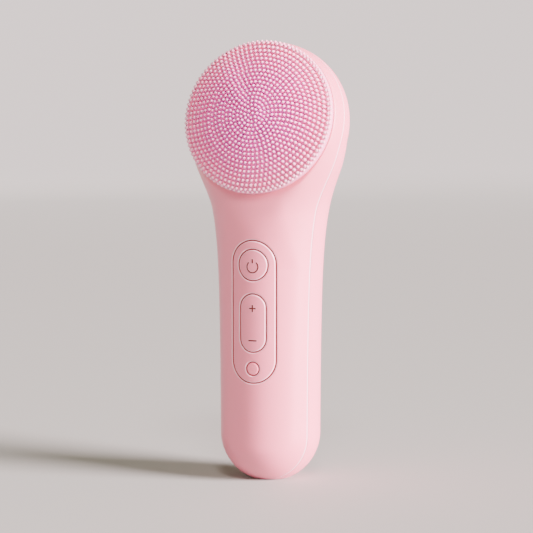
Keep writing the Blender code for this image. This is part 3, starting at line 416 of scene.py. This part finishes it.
def score_edge(sheet, field, sign=1.0, start=0.0):
    """Adds the edges that a rounding or a bevel along a level line needs."""
    for step in EDGE_STEPS:
        sheet.score(field, start + sign * step)
    return sheet


# ---------------------------------------------------------------- objects


def finish_piece(bm, name, body, material, replaces=(), sharp=35):
    """Makes the mesh an object that rides on a body and stands in for CAD nodes."""
    bmesh.ops.remove_doubles(bm, verts=bm.verts, dist=MERGE)
    bmesh.ops.dissolve_degenerate(bm, edges=bm.edges, dist=SLIVER)
    bmesh.ops.recalc_face_normals(bm, faces=bm.faces)
    mesh = bpy.data.meshes.new(name)
    bm.to_mesh(mesh)
    bm.free()
    mesh.shade_smooth()
    mesh.set_sharp_from_angle(angle=math.radians(sharp))
    item = bpy.data.objects.new(name, mesh)
    bpy.context.scene.collection.objects.link(item)
    mesh.materials.append(material)
    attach(item, body)
    if replaces:
        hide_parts(*replaces)
    return item


# ---------------------------------------------------------------- materials


GRAIN_DEPTH = 0.00002


class Paint:
    """A Principled material with a few helpers for its nodes."""

    def __init__(self, name, colour, roughness, metallic=0.0, **sockets):
        self.material = bpy.data.materials.new(name)
        self.material.use_nodes = True
        self.tree = self.material.node_tree
        self.shader = self.tree.nodes["Principled BSDF"]
        self.shader.inputs["Base Color"].default_value = (*colour, 1.0)
        self.shader.inputs["Roughness"].default_value = roughness
        self.shader.inputs["Metallic"].default_value = metallic
        for socket, value in sockets.items():
            self.shader.inputs[socket.replace("_", " ")].default_value = value
        self.place = self.tree.nodes.new("ShaderNodeTexCoord").outputs["Object"]

    def noise(self, scale, detail=3.0, rough=0.5):
        node = self.tree.nodes.new("ShaderNodeTexNoise")
        node.inputs["Scale"].default_value = scale
        node.inputs["Detail"].default_value = detail
        node.inputs["Roughness"].default_value = rough
        self.tree.links.new(self.place, node.inputs["Vector"])
        return node.outputs["Fac"]

    def ramp(self, source, stops):
        node = self.tree.nodes.new("ShaderNodeValToRGB")
        ramp = node.color_ramp
        while len(ramp.elements) < len(stops):
            ramp.elements.new(0.5)
        for element, (place, colour) in zip(ramp.elements, stops):
            element.position = place
            element.color = (*colour, 1.0)
        self.tree.links.new(source, node.inputs["Fac"])
        return node.outputs["Color"]

    def mix(self, share, first, second, blend="MIX"):
        node = self.tree.nodes.new("ShaderNodeMix")
        node.data_type = "RGBA"
        node.blend_type = blend
        sockets = [node.inputs[0], node.inputs[6], node.inputs[7]]
        for socket, value in zip(sockets, (share, first, second)):
            if isinstance(value, bpy.types.NodeSocket):
                self.tree.links.new(value, socket)
            elif isinstance(value, tuple):
                socket.default_value = (*value, 1.0)
            else:
                socket.default_value = value
        return node.outputs[2]

    def attribute(self, name):
        node = self.tree.nodes.new("ShaderNodeAttribute")
        node.attribute_name = name
        return node.outputs["Fac"]

    def range(self, source, low, high):
        node = self.tree.nodes.new("ShaderNodeMapRange")
        node.inputs["To Min"].default_value = low
        node.inputs["To Max"].default_value = high
        self.tree.links.new(source, node.inputs["Value"])
        return node.outputs["Result"]

    def blend(self, share, first, second):
        node = self.tree.nodes.new("ShaderNodeMix")
        self.tree.links.new(share, node.inputs[0])
        self.tree.links.new(first, node.inputs[2])
        node.inputs[3].default_value = second
        return node.outputs[0]

    def bump(self, source, strength, distance):
        node = self.tree.nodes.new("ShaderNodeBump")
        node.inputs["Strength"].default_value = strength
        node.inputs["Distance"].default_value = distance
        self.tree.links.new(source, node.inputs["Height"])
        self.tree.links.new(node.outputs["Normal"], self.shader.inputs["Normal"])
        return self

    def colour(self, source):
        self.tree.links.new(source, self.shader.inputs["Base Color"])
        return self

    def roughness(self, source):
        self.tree.links.new(source, self.shader.inputs["Roughness"])
        return self


def linear(red, green, blue):
    """A colour given in 0-255 display values."""
    values = []
    for channel in (red, green, blue):
        share = channel / 255
        values.append(share / 12.92 if share <= 0.04045 else ((share + 0.055) / 1.055) ** 2.4)
    return tuple(values)


def soft_touch(name, colour, deep):
    """Satin soft-touch plastic: fine grain, faint mottling, painted shade in deep red inside its grooves,
    and on the bevelled edges a glossier satin with a painted highlight in pale pink.
    """
    paint = Paint(
        name, colour, 0.4, Subsurface_Weight=0.25, Subsurface_Scale=0.004, Coat_Weight=0.12,
        Coat_Roughness=0.35, Specular_IOR_Level=0.5,
    )
    paint.shader.inputs["Subsurface Radius"].default_value = (1.0, 0.45, 0.45)
    lighter = tuple(min(1.0, c * 1.03) for c in colour)
    mottled = paint.mix(paint.noise(90.0), colour, lighter)
    # Painted highlight: pale pink on the bevelled edges.
    painted_highlight = paint.mix(paint.range(paint.attribute("rim"), 0.0, 0.85), mottled, HIGHLIGHT_PINK)
    # Painted shade: deep red inside the grooves.
    paint.colour(paint.mix(paint.attribute("groove_shade"), painted_highlight, deep))
    satin = paint.range(paint.noise(400.0), 0.34, 0.44)
    paint.roughness(paint.blend(paint.attribute("rim"), satin, 0.3))
    return paint.bump(paint.noise(5200.0, 2.0), 0.05, GRAIN_DEPTH).material


def silicone(name, stops, edge_stops, roughness=0.24):
    """Translucent silicone, whose colour follows how far up the bristles a point is: deeper and darker at
    the roots, partly the silicone's own tone and partly painted shade between the bristles, and palest at
    the tips, a painted highlight.
    """
    paint = Paint(
        name, stops[0][1], roughness, Subsurface_Weight=0.4, Subsurface_Scale=0.001,
        Specular_IOR_Level=0.3, IOR=1.41,
    )
    paint.shader.inputs["Subsurface Radius"].default_value = (1.0, 0.4, 0.5)
    by_height = paint.ramp(paint.attribute("rise"), stops)
    warm = paint.ramp(paint.attribute("rise"), edge_stops)
    paint.colour(paint.mix(paint.attribute("edge"), by_height, warm))
    paint.roughness(paint.range(paint.noise(900.0), roughness - 0.05, roughness + 0.08))
    return paint.bump(paint.noise(4000.0, 2.0), 0.05, GRAIN_DEPTH).material


def plain(name, first, second, roughness, metallic=0.0, scale=300.0, grain=2500.0):
    paint = Paint(name, first, roughness, metallic)
    paint.colour(paint.mix(paint.noise(scale), first, second))
    paint.roughness(paint.range(paint.noise(scale * 2), roughness - 0.06, roughness + 0.1))
    return paint.bump(paint.noise(grain, 2.0), 0.08, GRAIN_DEPTH).material


PINK = (0.93, 0.255, 0.35)
# The deep red is painted shade, inside the grooves and on the floor under the panel.
GROOVE_SHADE_PINK = (0.42, 0.024, 0.022)
# The pale pink is a painted highlight on the bevelled edges.
HIGHLIGHT_PINK = (0.98, 0.72, 0.78)
# Colours up the bristles, root to tip: the dark roots are partly painted shade between the bristles, the
# pale tips a painted highlight.
CORE_SILICONE = [
    (0.0, (0.88, 0.14, 0.62)), (0.55, (0.92, 0.23, 0.68)),
    (0.86, (0.97, 0.40, 0.75)), (0.97, (1.0, 0.61, 0.78)),
]
EDGE_SILICONE = [
    (0.0, (0.96, 0.20, 0.43)), (0.55, (0.98, 0.32, 0.54)),
    (0.86, (0.99, 0.46, 0.63)), (0.97, (1.0, 0.60, 0.68)),
]
MATERIALS = {
    "shell": soft_touch("soft_touch_pink", PINK, GROOVE_SHADE_PINK),
    "rear": soft_touch("soft_touch_pink_rear", PINK, GROOVE_SHADE_PINK),
    "key": soft_touch("soft_touch_key", PINK, GROOVE_SHADE_PINK),
    # The seam bead's pale colour is a painted highlight along the parting line.
    "gasket": plain("seam_highlight_silicone", (0.98, 0.68, 0.74), (0.97, 0.65, 0.72), 0.35),
    "symbol": plain("symbol_dark", (0.13, 0.01, 0.009), (0.11, 0.009, 0.008), 0.45),
    # The pale edges round the symbols are a painted highlight.
    "symbol_edge": plain("symbol_edge_highlight", (0.97, 0.52, 0.58), (0.96, 0.48, 0.54), 0.35),
    "silicone": silicone("bristle_silicone", CORE_SILICONE, EDGE_SILICONE),
    "lens": plain("frosted_lens", (0.93, 0.25, 0.34), (0.93, 0.27, 0.36), 0.25),
    "nylon": plain("natural_nylon", linear(226, 222, 212), linear(216, 211, 200), 0.5),
    "rubber": plain("black_rubber", (0.02, 0.02, 0.022), (0.03, 0.03, 0.033), 0.7),
    "steel": plain("plated_steel", (0.55, 0.56, 0.58), (0.62, 0.63, 0.65), 0.28, 1.0, 800.0),
    "brass": plain("plated_brass", (0.80, 0.58, 0.24), (0.72, 0.50, 0.20), 0.28, 1.0, 800.0),
    "board": plain("solder_mask", (0.02, 0.17, 0.07), (0.03, 0.22, 0.09), 0.4, 0.0, 700.0),
    "chip": plain("moulded_black", (0.015, 0.015, 0.018), (0.025, 0.025, 0.03), 0.45),
    "battery": plain("battery_sleeve", (0.03, 0.12, 0.42), (0.04, 0.15, 0.48), 0.3),
    "foam": plain("grey_foam", (0.05, 0.05, 0.06), (0.09, 0.09, 0.10), 0.9, 0.0, 2500.0),
    "red_lead": plain("red_insulation", (0.45, 0.015, 0.01), (0.5, 0.02, 0.015), 0.4),
    "black_lead": plain("black_insulation", (0.01, 0.01, 0.01), (0.018, 0.018, 0.018), 0.4),
}


def paint_nodes():
    """Every CAD node takes the material of its slot in the record."""
    for part in frame["record"]["subparts"]:
        node = frame["nodes"][part["node"]]
        material = MATERIALS[part["material_slot"]]
        if not node.material_slots:
            node.data.materials.append(material)
        for slot in node.material_slots:
            slot.material = material


def mark(item, name, values):
    """Stores a number for each vertex, for the material to read."""
    layer = item.data.attributes.new(name, "FLOAT", "POINT")
    layer.data.foreach_set("value", np.clip(values, 0, 1).astype(np.float32))


def vertex_points(item):
    flat = np.empty(len(item.data.vertices) * 3)
    item.data.vertices.foreach_get("co", flat)
    return flat.reshape(-1, 3) / MM


# ---------------------------------------------------------------- shells, panel, keys


def groove_depth(points):
    """0 on the skin, towards 1 inside the gaps: the share of painted shade, in deep red, at a point."""
    return np.clip((body_depth(points) - GROOVE_FROM) / GROOVE_FADE, 0, 1)


def rim_gloss_and_highlight(points):
    """1 on the bevelled edges of the keys and of the panel, whose satin is rubbed smooth, and whose paler
    colour there is a painted highlight.
    """
    depth = body_depth(points)
    rise = np.clip((depth - GLOSS_FROM) / GLOSS_RISE, 0, 1)
    return rise * np.clip((GLOSS_TO - depth) / GLOSS_FALL, 0, 1)


def make_front(skin):
    """The front shell; gives back the pieces of skin over the panel and over its trough."""
    sheet = skin.copy().keep(seam_offset, SEAM_HALF_GAP).keep(cap_distance, CAP_HOLE)
    score_edge(sheet, seam_offset, 1.0, SEAM_HALF_GAP)
    panel = sheet.copy().keep(panel_distance, 0.0, above=False)
    trough = sheet.copy().keep(panel_distance, TROUGH_REACH, above=False)
    sheet.keep(panel_distance, KEY_GAP)
    score_edge(sheet, panel_distance, 1.0, KEY_GAP)
    for step in RIM_STEPS:
        sheet.score(lambda p: head_place(p)[0], RIM_ALONG + step)

    def beyond_pocket(points):
        along, out = head_place(points)
        return np.where(along > RIM_ALONG - POCKET_SINK, out, FAR)

    sheet.keep(beyond_pocket, POCKET_RADIUS)
    sheet.sink(
        lambda p: rounding(seam_offset(p) - SEAM_HALF_GAP) + chamfer(panel_distance(p) - KEY_GAP)
    )
    normals = skin_normal(sheet.points)
    along, _ = head_place(sheet.points)
    on_rim = np.clip((along - RIM_ALONG) / RIM_TURN + 0.5, 0, 1)[:, None]
    normals = normals * (1 - on_rim) + HEAD_AXIS * on_rim
    sheet.points = flatten_rim(sheet.points)
    item = finish_piece(
        sheet.shell(WALL, normals), "front_shell_skin", "handle", MATERIALS["shell"],
        ["front_shell"],
    )
    near_panel = panel_distance(vertex_points(item)) < PANEL_REACH
    # Painted shade inside the grooves round the panel.
    mark(item, "groove_shade", groove_depth(vertex_points(item)) * near_panel)
    # Painted highlight and gloss on the bevels round the panel.
    mark(item, "rim", rim_gloss_and_highlight(vertex_points(item)) * near_panel)
    return panel, trough


def make_rear(skin):
    sheet = skin.copy().keep(seam_offset, -SEAM_HALF_GAP, above=False)
    score_edge(sheet, seam_offset, -1.0, -SEAM_HALF_GAP)
    sheet.keep(cap_distance, CAP_HOLE)
    sheet.sink(lambda p: rounding(-SEAM_HALF_GAP - seam_offset(p)))
    item = finish_piece(
        sheet.shell(WALL), "rear_shell_skin", "handle", MATERIALS["rear"],
        ["rear_shell"],
    )
    mark(item, "groove_shade", np.zeros(len(item.data.vertices)))


def make_bead(skin):
    sheet = skin.copy().keep(seam_offset, -BEAD_HALF).keep(seam_offset, BEAD_HALF, above=False)
    sheet.keep(cap_distance, CAP_HOLE + BEAD_ENDS)
    sheet.score(seam_offset, 0.0)
    sheet.sink(lambda p: BEAD_DROP + BEAD_CURVE * (seam_offset(p) / BEAD_HALF) ** 2)
    # Pale, a painted highlight along the parting line.
    finish_piece(
        sheet.shell(BEAD_THICK), "seam_bead", "handle", MATERIALS["gasket"], ["seam_gasket"]
    )


def make_panel(panel, trough):
    """The panel's face, its keys and window, and the floor under them."""
    keys = (
        (power_distance, "power_button", "power_key"),
        (rocker_distance, "intensity_rocker", "rocker_key"),
    )
    face = panel.copy()
    for field, node, body in keys:
        key = panel.copy().keep(field, 0.0, above=False)
        score_edge(key, field, -1.0, 0.0)
        key.sink(lambda p, field=field: chamfer(-field(p)))
        item = finish_piece(
            key.shell(KEY_THICK), node + "_face", body, MATERIALS["key"], [node]
        )
        # Painted shade inside the gap round the key.
        mark(item, "groove_shade", groove_depth(vertex_points(item)))
        # Painted highlight and gloss on the key's bevel.
        mark(item, "rim", rim_gloss_and_highlight(vertex_points(item)))
        face.keep(field, KEY_GAP)
        score_edge(face, field, 1.0, KEY_GAP)
    face.keep(light_distance, KEY_GAP)
    score_edge(face, light_distance, 1.0, KEY_GAP)
    score_edge(face, panel_distance, -1.0, 0.0)

    def edges(points):
        total = chamfer(-panel_distance(points))
        for field in (power_distance, rocker_distance, light_distance):
            total = total + chamfer(field(points) - KEY_GAP)
        return total

    face.sink(edges)
    item = finish_piece(
        face.shell(PANEL_THICK), "panel_face", "handle", MATERIALS["shell"],
        ["control_panel"],
    )
    # Painted shade inside the gaps round the panel's face.
    mark(item, "groove_shade", groove_depth(vertex_points(item)))
    # Painted highlight and gloss on the bevels of the panel's face.
    mark(item, "rim", rim_gloss_and_highlight(vertex_points(item)))

    light = panel.copy().keep(light_distance, 0.0, above=False)
    score_edge(light, light_distance, -1.0, 0.0)
    light.sink(lambda p: chamfer(-light_distance(p)))
    finish_piece(
        light.shell(KEY_THICK), "indicator_face", "handle", MATERIALS["lens"], ["indicator_lens"]
    )

    trough.sink(lambda p: np.full(len(p), TROUGH_DEPTH))
    item = finish_piece(
        trough.shell(TROUGH_THICK), "panel_floor", "handle", MATERIALS["shell"], []
    )
    # The floor under the panel is all deep red, painted shade seen through the gaps.
    mark(item, "groove_shade", np.ones(len(item.data.vertices)))


# ---------------------------------------------------------------- symbols


def on_front(outlines, name, body, material, layer):
    """Flat outlines in x and height, as a thin layer on the front face."""
    low, high = layer
    curve = bpy.data.curves.new(name, "CURVE")
    curve.dimensions = "2D"
    curve.fill_mode = "BOTH"
    curve.extrude = (high - low) / 2 * MM
    for outline in outlines:
        spline = curve.splines.new("POLY")
        spline.points.add(len(outline) - 1)
        for point, (x, height) in zip(spline.points, outline):
            point.co = (x * MM, height * MM, 0.0, 1.0)
        spline.use_cyclic_u = True
    item = bpy.data.objects.new(name + "_outline", curve)
    bpy.context.scene.collection.objects.link(item)
    mesh = bpy.data.meshes.new_from_object(item.evaluated_get(bpy.context.evaluated_depsgraph_get()))
    bpy.data.objects.remove(item)
    bm = bmesh.new()
    bm.from_mesh(mesh)
    bmesh.ops.remove_doubles(bm, verts=bm.verts, dist=MERGE / 10)
    bmesh.ops.triangulate(bm, faces=bm.faces)
    long_edges = [edge for edge in bm.edges if edge.calc_length() > LONG_EDGE]
    bmesh.ops.subdivide_edges(bm, edges=long_edges, cuts=SYMBOL_CUTS)
    bmesh.ops.triangulate(bm, faces=bm.faces)
    for vert in bm.verts:
        x, height, rise = vert.co / MM
        face = FRONT_DEPTH - FRONT_CURVE * x * x
        vert.co = Vector((x, -(face + (low + high) / 2 + rise), height)) * MM
    return finish_piece(bm, name, body, MATERIALS[material], [], 40)


def bar(width, tall, height, grow):
    across, up = width / 2 + grow, tall / 2 + grow
    return [(-across, height - up), (across, height - up), (across, height + up), (-across, height + up)]


def power_outlines(grow):
    """A ring, open at the top, and the stroke that stands in its opening."""
    centre = POWER_HEIGHT - RING_DROP
    opening = RING_OPENING - grow / RING_RADIUS
    turn = np.linspace(opening, 2 * math.pi - opening, RING_STEPS)
    sides = []
    for radius in (RING_RADIUS + RING_HALF + grow, RING_RADIUS - RING_HALF - grow):
        sides.append([(math.sin(a) * radius, centre + math.cos(a) * radius) for a in turn])
    outer, inner = sides
    return [outer + inner[::-1], bar(STROKE_WIDTH, STROKE_TALL, centre + STROKE_RISE, grow)]


def plus_outlines(grow):
    plus = ROCKER_HEIGHT + PLUS_RISE
    arm, half = PLUS_ARM + grow, PLUS_HALF + grow
    cross = [
        (half, half), (arm, half), (arm, -half), (half, -half), (half, -arm), (-half, -arm),
        (-half, -half), (-arm, -half), (-arm, half), (-half, half), (-half, arm), (half, arm),
    ]
    return [[(x, plus + z) for x, z in cross]]


def minus_outlines(grow):
    return [bar(MINUS_WIDTH, MINUS_TALL, ROCKER_HEIGHT - MINUS_DROP, grow)]


def make_symbols():
    """Dark strokes, each with a pale edge all round it, a painted highlight."""
    symbols = {
        "power_symbol": (power_outlines, "power_key"),
        "plus_symbol": (plus_outlines, "rocker_key"),
        "minus_symbol": (minus_outlines, "rocker_key"),
    }
    for name, (outlines, body) in symbols.items():
        on_front(outlines(0.0), name, body, "symbol", STROKE_LAYER)
        # The pale edge round each stroke is a painted highlight.
        on_front(outlines(SYMBOL_EDGE), name + "_edge", body, "symbol_edge", HIGHLIGHT_LAYER)


# ---------------------------------------------------------------- head


def head_matrix():
    """Takes +Z at the origin to the head's axis."""
    turned = Matrix.Rotation(math.radians(90) - HEAD_TILT, 4, "X")
    return Matrix.Translation((0, 0, HEAD_HEIGHT * MM)) @ turned


def lathe(profile, sides=160):
    """A closed turned mesh round the head's axis, from (out, along) pairs."""
    bm = bmesh.new()
    rings = []
    for out, along in profile:
        if out < 1e-6:
            rings.append([bm.verts.new((0, 0, along * MM))])
            continue
        ring = []
        for i in range(sides):
            a = 2 * math.pi * i / sides
            ring.append(bm.verts.new((out * math.cos(a) * MM, out * math.sin(a) * MM, along * MM)))
        rings.append(ring)
    for first, second in zip(rings, rings[1:]):
        for i in range(sides):
            j = (i + 1) % sides
            inner = (first[i % len(first)], first[j % len(first)])
            outer = (second[j % len(second)], second[i % len(second)])
            loop = list(dict.fromkeys(inner + outer))
            if len(loop) > 2:
                bm.faces.new(loop)
    bm.transform(head_matrix())
    return bm


def dome(out, edge, crown, edge_radius):
    """Distance along the axis of a ball-shaped surface, at a distance out of it."""
    rise = crown - edge
    ball = (edge_radius**2 + rise**2) / (2 * rise)
    return crown - ball + math.sqrt(ball**2 - out * out)


def bristle_root(out):
    """Distance along the axis of the surface that the bristles grow from."""
    share = out / TIP_RING
    length = MIDDLE_LENGTH + (EDGE_LENGTH - MIDDLE_LENGTH) * share**4
    return dome(out, TIP_EDGE, TIP_CROWN, TIP_RING) - length


def edge_share(out):
    """0 in the middle of the pad, 1 at its edge."""
    return np.clip(out / TIP_RING, 0, 1) ** 2.5


def make_pad():
    profile = [(0.0, SKIRT_BACK + SKIRT_EDGE[0][1])]
    profile += [(SKIRT_RADIUS - inset, SKIRT_BACK + front) for inset, front in SKIRT_EDGE]
    shoulder = bristle_root(TIP_RING) - SKIRT_TOP
    for turn in np.radians(np.linspace(0, SHOULDER_TURN, SHOULDER_STEPS)):
        out = SKIRT_RADIUS - (SKIRT_RADIUS - TIP_RING) * (1 - math.cos(turn))
        profile.append((out, SKIRT_TOP + shoulder * math.sin(turn)))
    dome_steps = np.linspace(TIP_RING - PAD_INSET, 0.0, PAD_STEPS)
    profile += [(out, bristle_root(out)) for out in dome_steps]
    item = finish_piece(
        lathe(profile), "pad_base", "brush_head", MATERIALS["silicone"], ["brush_pad"], 50
    )
    _, out = head_place(vertex_points(item))
    # The dome between the bristles keeps the roots' colour, partly painted shade; its shoulder is painted
    # paler, towards the bristles' middle colour.
    mark(item, "rise", SHOULDER_RISE * np.clip(out - TIP_RING + SHOULDER_NEAR, 0, 1))
    mark(item, "edge", edge_share(out))


def make_bristles():
    """Rings of bristles, each ring turned half a step from the last, and one in the middle."""
    bm = bmesh.new()
    # How far up its bristle a point is, which sets the colour: dark at the roots, partly painted shade,
    # pale at the tips, a painted highlight.
    layer = bm.verts.layers.float.new("rise")
    rng = np.random.default_rng(SEED)
    out, start = TIP_RING, 0.0
    add_edge_ring(bm, layer, rng)
    for ring in range(RINGS):
        inward = 1 - out / TIP_RING
        count = max(4, round(2 * math.pi * out / (TIP_PITCH[0] + (TIP_PITCH[1] - TIP_PITCH[0]) * inward)))
        start += math.pi / count
        size = TIP_SIZES[ring] if ring < len(TIP_SIZES) else TIP_SIZES[-1] - MIDDLE_THINNER * inward
        for k in range(count):
            turn = start + 2 * math.pi * k / count
            tip = dome(out, TIP_EDGE, TIP_CROWN, TIP_RING)
            root = bristle_root(out) - ROOT_DEPTH
            lean = LEAN_MORE * (out / TIP_RING) ** 2 + LEAN_MIDDLE
            axis = Vector((math.cos(turn) * lean, math.sin(turn) * lean, 1.0)).normalized()
            foot = Vector((out * math.cos(turn), out * math.sin(turn), root))
            foot -= Vector((axis.x, axis.y, 0)) * (tip - root)
            width = size * rng.uniform(*WIDTH_VARIES)
            length = (tip - root) * rng.uniform(*LENGTH_VARIES)
            spread = 1 - SPREAD_LOSS * (out / TIP_RING) ** 6
            add_bristle(bm, layer, foot, axis, length, width, spread)
        out -= RING_PITCH[0] + (RING_PITCH[1] - RING_PITCH[0]) * inward
        if out < 0.5:
            break
    foot = Vector((0, 0, bristle_root(0) - ROOT_DEPTH))
    width = TIP_SIZES[-1] - MIDDLE_THINNER
    add_bristle(bm, layer, foot, Vector((0, 0, 1)), TIP_CROWN - foot.z, width, 1.0)
    bm.transform(head_matrix())
    item = finish_piece(bm, "bristles", "brush_head", MATERIALS["silicone"], [], 60)
    _, out = head_place(vertex_points(item))
    mark(item, "edge", edge_share(out))


def add_edge_ring(bm, layer, rng):
    """The outermost bristles, short ones that stand out from the pad's shoulder."""
    lean = Vector((math.sin(EDGE_LEAN), 0, math.cos(EDGE_LEAN)))
    count = round(2 * math.pi * EDGE_RING / TIP_PITCH[0])
    for k in range(count):
        turn = Matrix.Rotation(2 * math.pi * (k + 0.5) / count, 3, "Z")
        tip = Vector((EDGE_RING, 0, EDGE_ALONG))
        width = EDGE_SIZE * rng.uniform(*WIDTH_VARIES)
        foot = tip - lean * (EDGE_REACH - width)
        add_bristle(bm, layer, turn @ foot, turn @ lean, EDGE_REACH, width, EDGE_SPREAD)


def add_bristle(bm, layer, foot, axis, length, width, spread):
    """A peg with a round tip, whose root flares out by a share, spread, of the full flare."""
    side = axis.cross(Vector((0, 0, 1)) if abs(axis.z) < 0.9 else Vector((1, 0, 0))).normalized()
    other = axis.cross(side)
    shape = [(1 + (scale - 1) * spread, share) for scale, share in ROOT_FLARE]
    shape.append((1 + WAIST * spread, WAIST_AT * min(1.0, WAIST_DROP * (1 - width / length))))
    shape.append((SHAFT_WIDTH, 1 - SHAFT_BELOW * width / length))
    for angle in np.radians(TIP_ANGLES):
        shape.append((math.cos(angle), 1 - width * (1 - math.sin(angle)) / length))
    rings = []
    for scale, share in shape:
        ring = []
        for i in range(BRISTLE_SIDES):
            a = 2 * math.pi * i / BRISTLE_SIDES
            outwards = (side * math.cos(a) + other * math.sin(a)) * width * scale
            vert = bm.verts.new((foot + axis * (length * share) + outwards) * MM)
            vert[layer] = share
            ring.append(vert)
        rings.append(ring)
    for first, second in zip(rings, rings[1:]):
        for i in range(BRISTLE_SIDES):
            j = (i + 1) % BRISTLE_SIDES
            bm.faces.new((first[i], first[j], second[j], second[i]))
    top = bm.verts.new((foot + axis * length) * MM)
    top[layer] = 1.0
    for i in range(BRISTLE_SIDES):
        bm.faces.new((rings[-1][i], rings[-1][(i + 1) % BRISTLE_SIDES], top))
    bm.faces.new(rings[0][::-1])


def make_pocket():
    """The seat that the pad's carrier slides into."""
    rim, corner, outside = RIM_ALONG - 0.25, 0.3, POCKET_RADIUS + 0.4
    under = POCKET_FLOOR - 1.0
    profile = [(0.0, POCKET_FLOOR), (POCKET_RADIUS - corner, POCKET_FLOOR)]
    profile += [(POCKET_RADIUS, POCKET_FLOOR + corner), (POCKET_RADIUS, rim)]
    profile += [(outside, rim), (outside, under), (0.0, under)]
    item = finish_piece(lathe(profile), "pad_pocket", "handle", MATERIALS["shell"], [], 40)
    mark(item, "groove_shade", np.zeros(len(item.data.vertices)))


# ---------------------------------------------------------------- stage


CAMERA_TURN, CAMERA_RISE, CAMERA_DISTANCE = math.radians(21.7), math.radians(4.5), 0.700
CAMERA_HEIGHT, CAMERA_ASIDE, CAMERA_LENS = 0.07957, -0.00154, 125.73
FLOOR_REACH, FLOOR_SIDES, SWEEP, SWEEP_STEPS = 2.4, 96, 1.0, 24
SWEEP_GLOWS, GLOW, GLOW_COLOUR = 0.05, 1.28, (1.0, 0.88, 0.85)
FLOOR_COLOUR, FLOOR_MOTTLE, SWEEP_COLOUR = (0.36, 0.46, 0.39), (0.352, 0.45, 0.38), (0.02, 0.02, 0.02)
SKY_COLOUR, SKY_STRENGTH = (1.0, 0.80, 0.48), 0.2


def look_from(turn, rise, distance, target):
    """Matrix of something that looks at the target from a direction, turn 0 being the front."""
    away = Vector((math.sin(turn) * math.cos(rise), -math.cos(turn) * math.cos(rise), math.sin(rise)))
    rotation = away.to_track_quat("Z", "Y").to_matrix().to_4x4()
    return Matrix.Translation(Vector(target) + away * distance) @ rotation


def make_camera():
    aside = Vector((math.cos(CAMERA_TURN), math.sin(CAMERA_TURN), 0)) * CAMERA_ASIDE
    data = bpy.data.cameras.new("camera")
    data.lens = CAMERA_LENS
    data.sensor_width = 36.0
    data.clip_start = 0.01
    camera = bpy.data.objects.new("camera", data)
    bpy.context.scene.collection.objects.link(camera)
    target = Vector((0, 0, CAMERA_HEIGHT)) + aside
    camera.matrix_world = look_from(CAMERA_TURN, CAMERA_RISE, CAMERA_DISTANCE, target)
    bpy.context.scene.camera = camera


def add_lamp(name, kind, turn, rise, distance, height, strength, colour):
    """A light that shines on the object from a direction, turn 0 being the front."""
    data = bpy.data.lights.new(name, kind)
    data.energy = strength
    data.color = colour
    lamp = bpy.data.objects.new(name, data)
    bpy.context.scene.collection.objects.link(lamp)
    lamp.matrix_world = look_from(math.radians(turn), math.radians(rise), distance, (0, 0, height))
    return data


def make_floor():
    """A wide round floor that sweeps up into a low wall, which doesn't shade what stands inside it."""
    profile = [(FLOOR_REACH / 2, 0.0)]
    for climb in np.linspace(0, math.pi / 2, SWEEP_STEPS):
        profile.append((FLOOR_REACH + SWEEP * math.sin(climb), SWEEP * (1 - math.cos(climb))))
    turn = [2 * math.pi * i / FLOOR_SIDES for i in range(FLOOR_SIDES)]
    bm = bmesh.new()
    rings = []
    for reach, height in profile:
        rings.append([bm.verts.new((reach * math.cos(a), reach * math.sin(a), height)) for a in turn])
    middle = bm.verts.new((0, 0, 0))
    for i in range(FLOOR_SIDES):
        bm.faces.new((middle, rings[0][i], rings[0][(i + 1) % FLOOR_SIDES]))
    for first, second in zip(rings, rings[1:]):
        for i in range(FLOOR_SIDES):
            j = (i + 1) % FLOOR_SIDES
            bm.faces.new((first[i], second[i], second[j], first[j]))
    mesh = bpy.data.meshes.new("floor")
    bm.to_mesh(mesh)
    bm.free()
    mesh.shade_smooth()
    floor = bpy.data.objects.new("floor", mesh)
    bpy.context.scene.collection.objects.link(floor)
    mesh.materials.append(backdrop_material())
    floor.visible_shadow = False


def backdrop_material():
    """A pale floor, whose swept-up edge glows faintly, so that it looks alike all the way round."""
    paint = Paint("pale_floor", FLOOR_COLOUR, 0.75)
    height = paint.tree.nodes.new("ShaderNodeSeparateXYZ")
    paint.tree.links.new(paint.place, height.inputs[0])
    climb = paint.tree.nodes.new("ShaderNodeMapRange")
    climb.interpolation_type = "SMOOTHSTEP"
    climb.inputs["From Max"].default_value = SWEEP_GLOWS
    paint.tree.links.new(height.outputs["Z"], climb.inputs["Value"])
    mottled = paint.mix(paint.noise(3.0), FLOOR_COLOUR, FLOOR_MOTTLE)
    paint.colour(paint.mix(climb.outputs["Result"], mottled, SWEEP_COLOUR))
    paint.shader.inputs["Emission Color"].default_value = (*GLOW_COLOUR, 1.0)
    glow = paint.range(climb.outputs["Result"], 0.0, GLOW)
    paint.tree.links.new(glow, paint.shader.inputs["Emission Strength"])
    return paint.bump(paint.noise(200.0, 2.0), 0.08, GRAIN_DEPTH).material


def make_stage():
    make_floor()
    world = bpy.data.worlds.new("studio")
    world.use_nodes = True
    sky = world.node_tree.nodes["Background"]
    sky.inputs["Color"].default_value = (*SKY_COLOUR, 1.0)
    sky.inputs["Strength"].default_value = SKY_STRENGTH
    bpy.context.scene.world = world
    key = add_lamp(
        "key", "SUN", turn=87, rise=18, distance=1.0, height=0.0, strength=27.0,
        colour=(1.0, 0.67, 0.78),
    )
    key.angle = math.radians(26.0)
    fill = add_lamp(
        "front_fill", "AREA", turn=25, rise=50, distance=1.1, height=0.08, strength=7.0,
        colour=(1.0, 0.68, 0.72),
    )
    fill.shape = "RECTANGLE"
    fill.size, fill.size_y = 0.2, 0.2


def main():
    paint_nodes()
    skin = body_sheet()
    panel, trough = make_front(skin)
    make_rear(skin)
    make_bead(skin)
    make_panel(panel, trough)
    make_symbols()
    make_pad()
    make_bristles()
    make_pocket()
    make_camera()
    make_stage()


main()
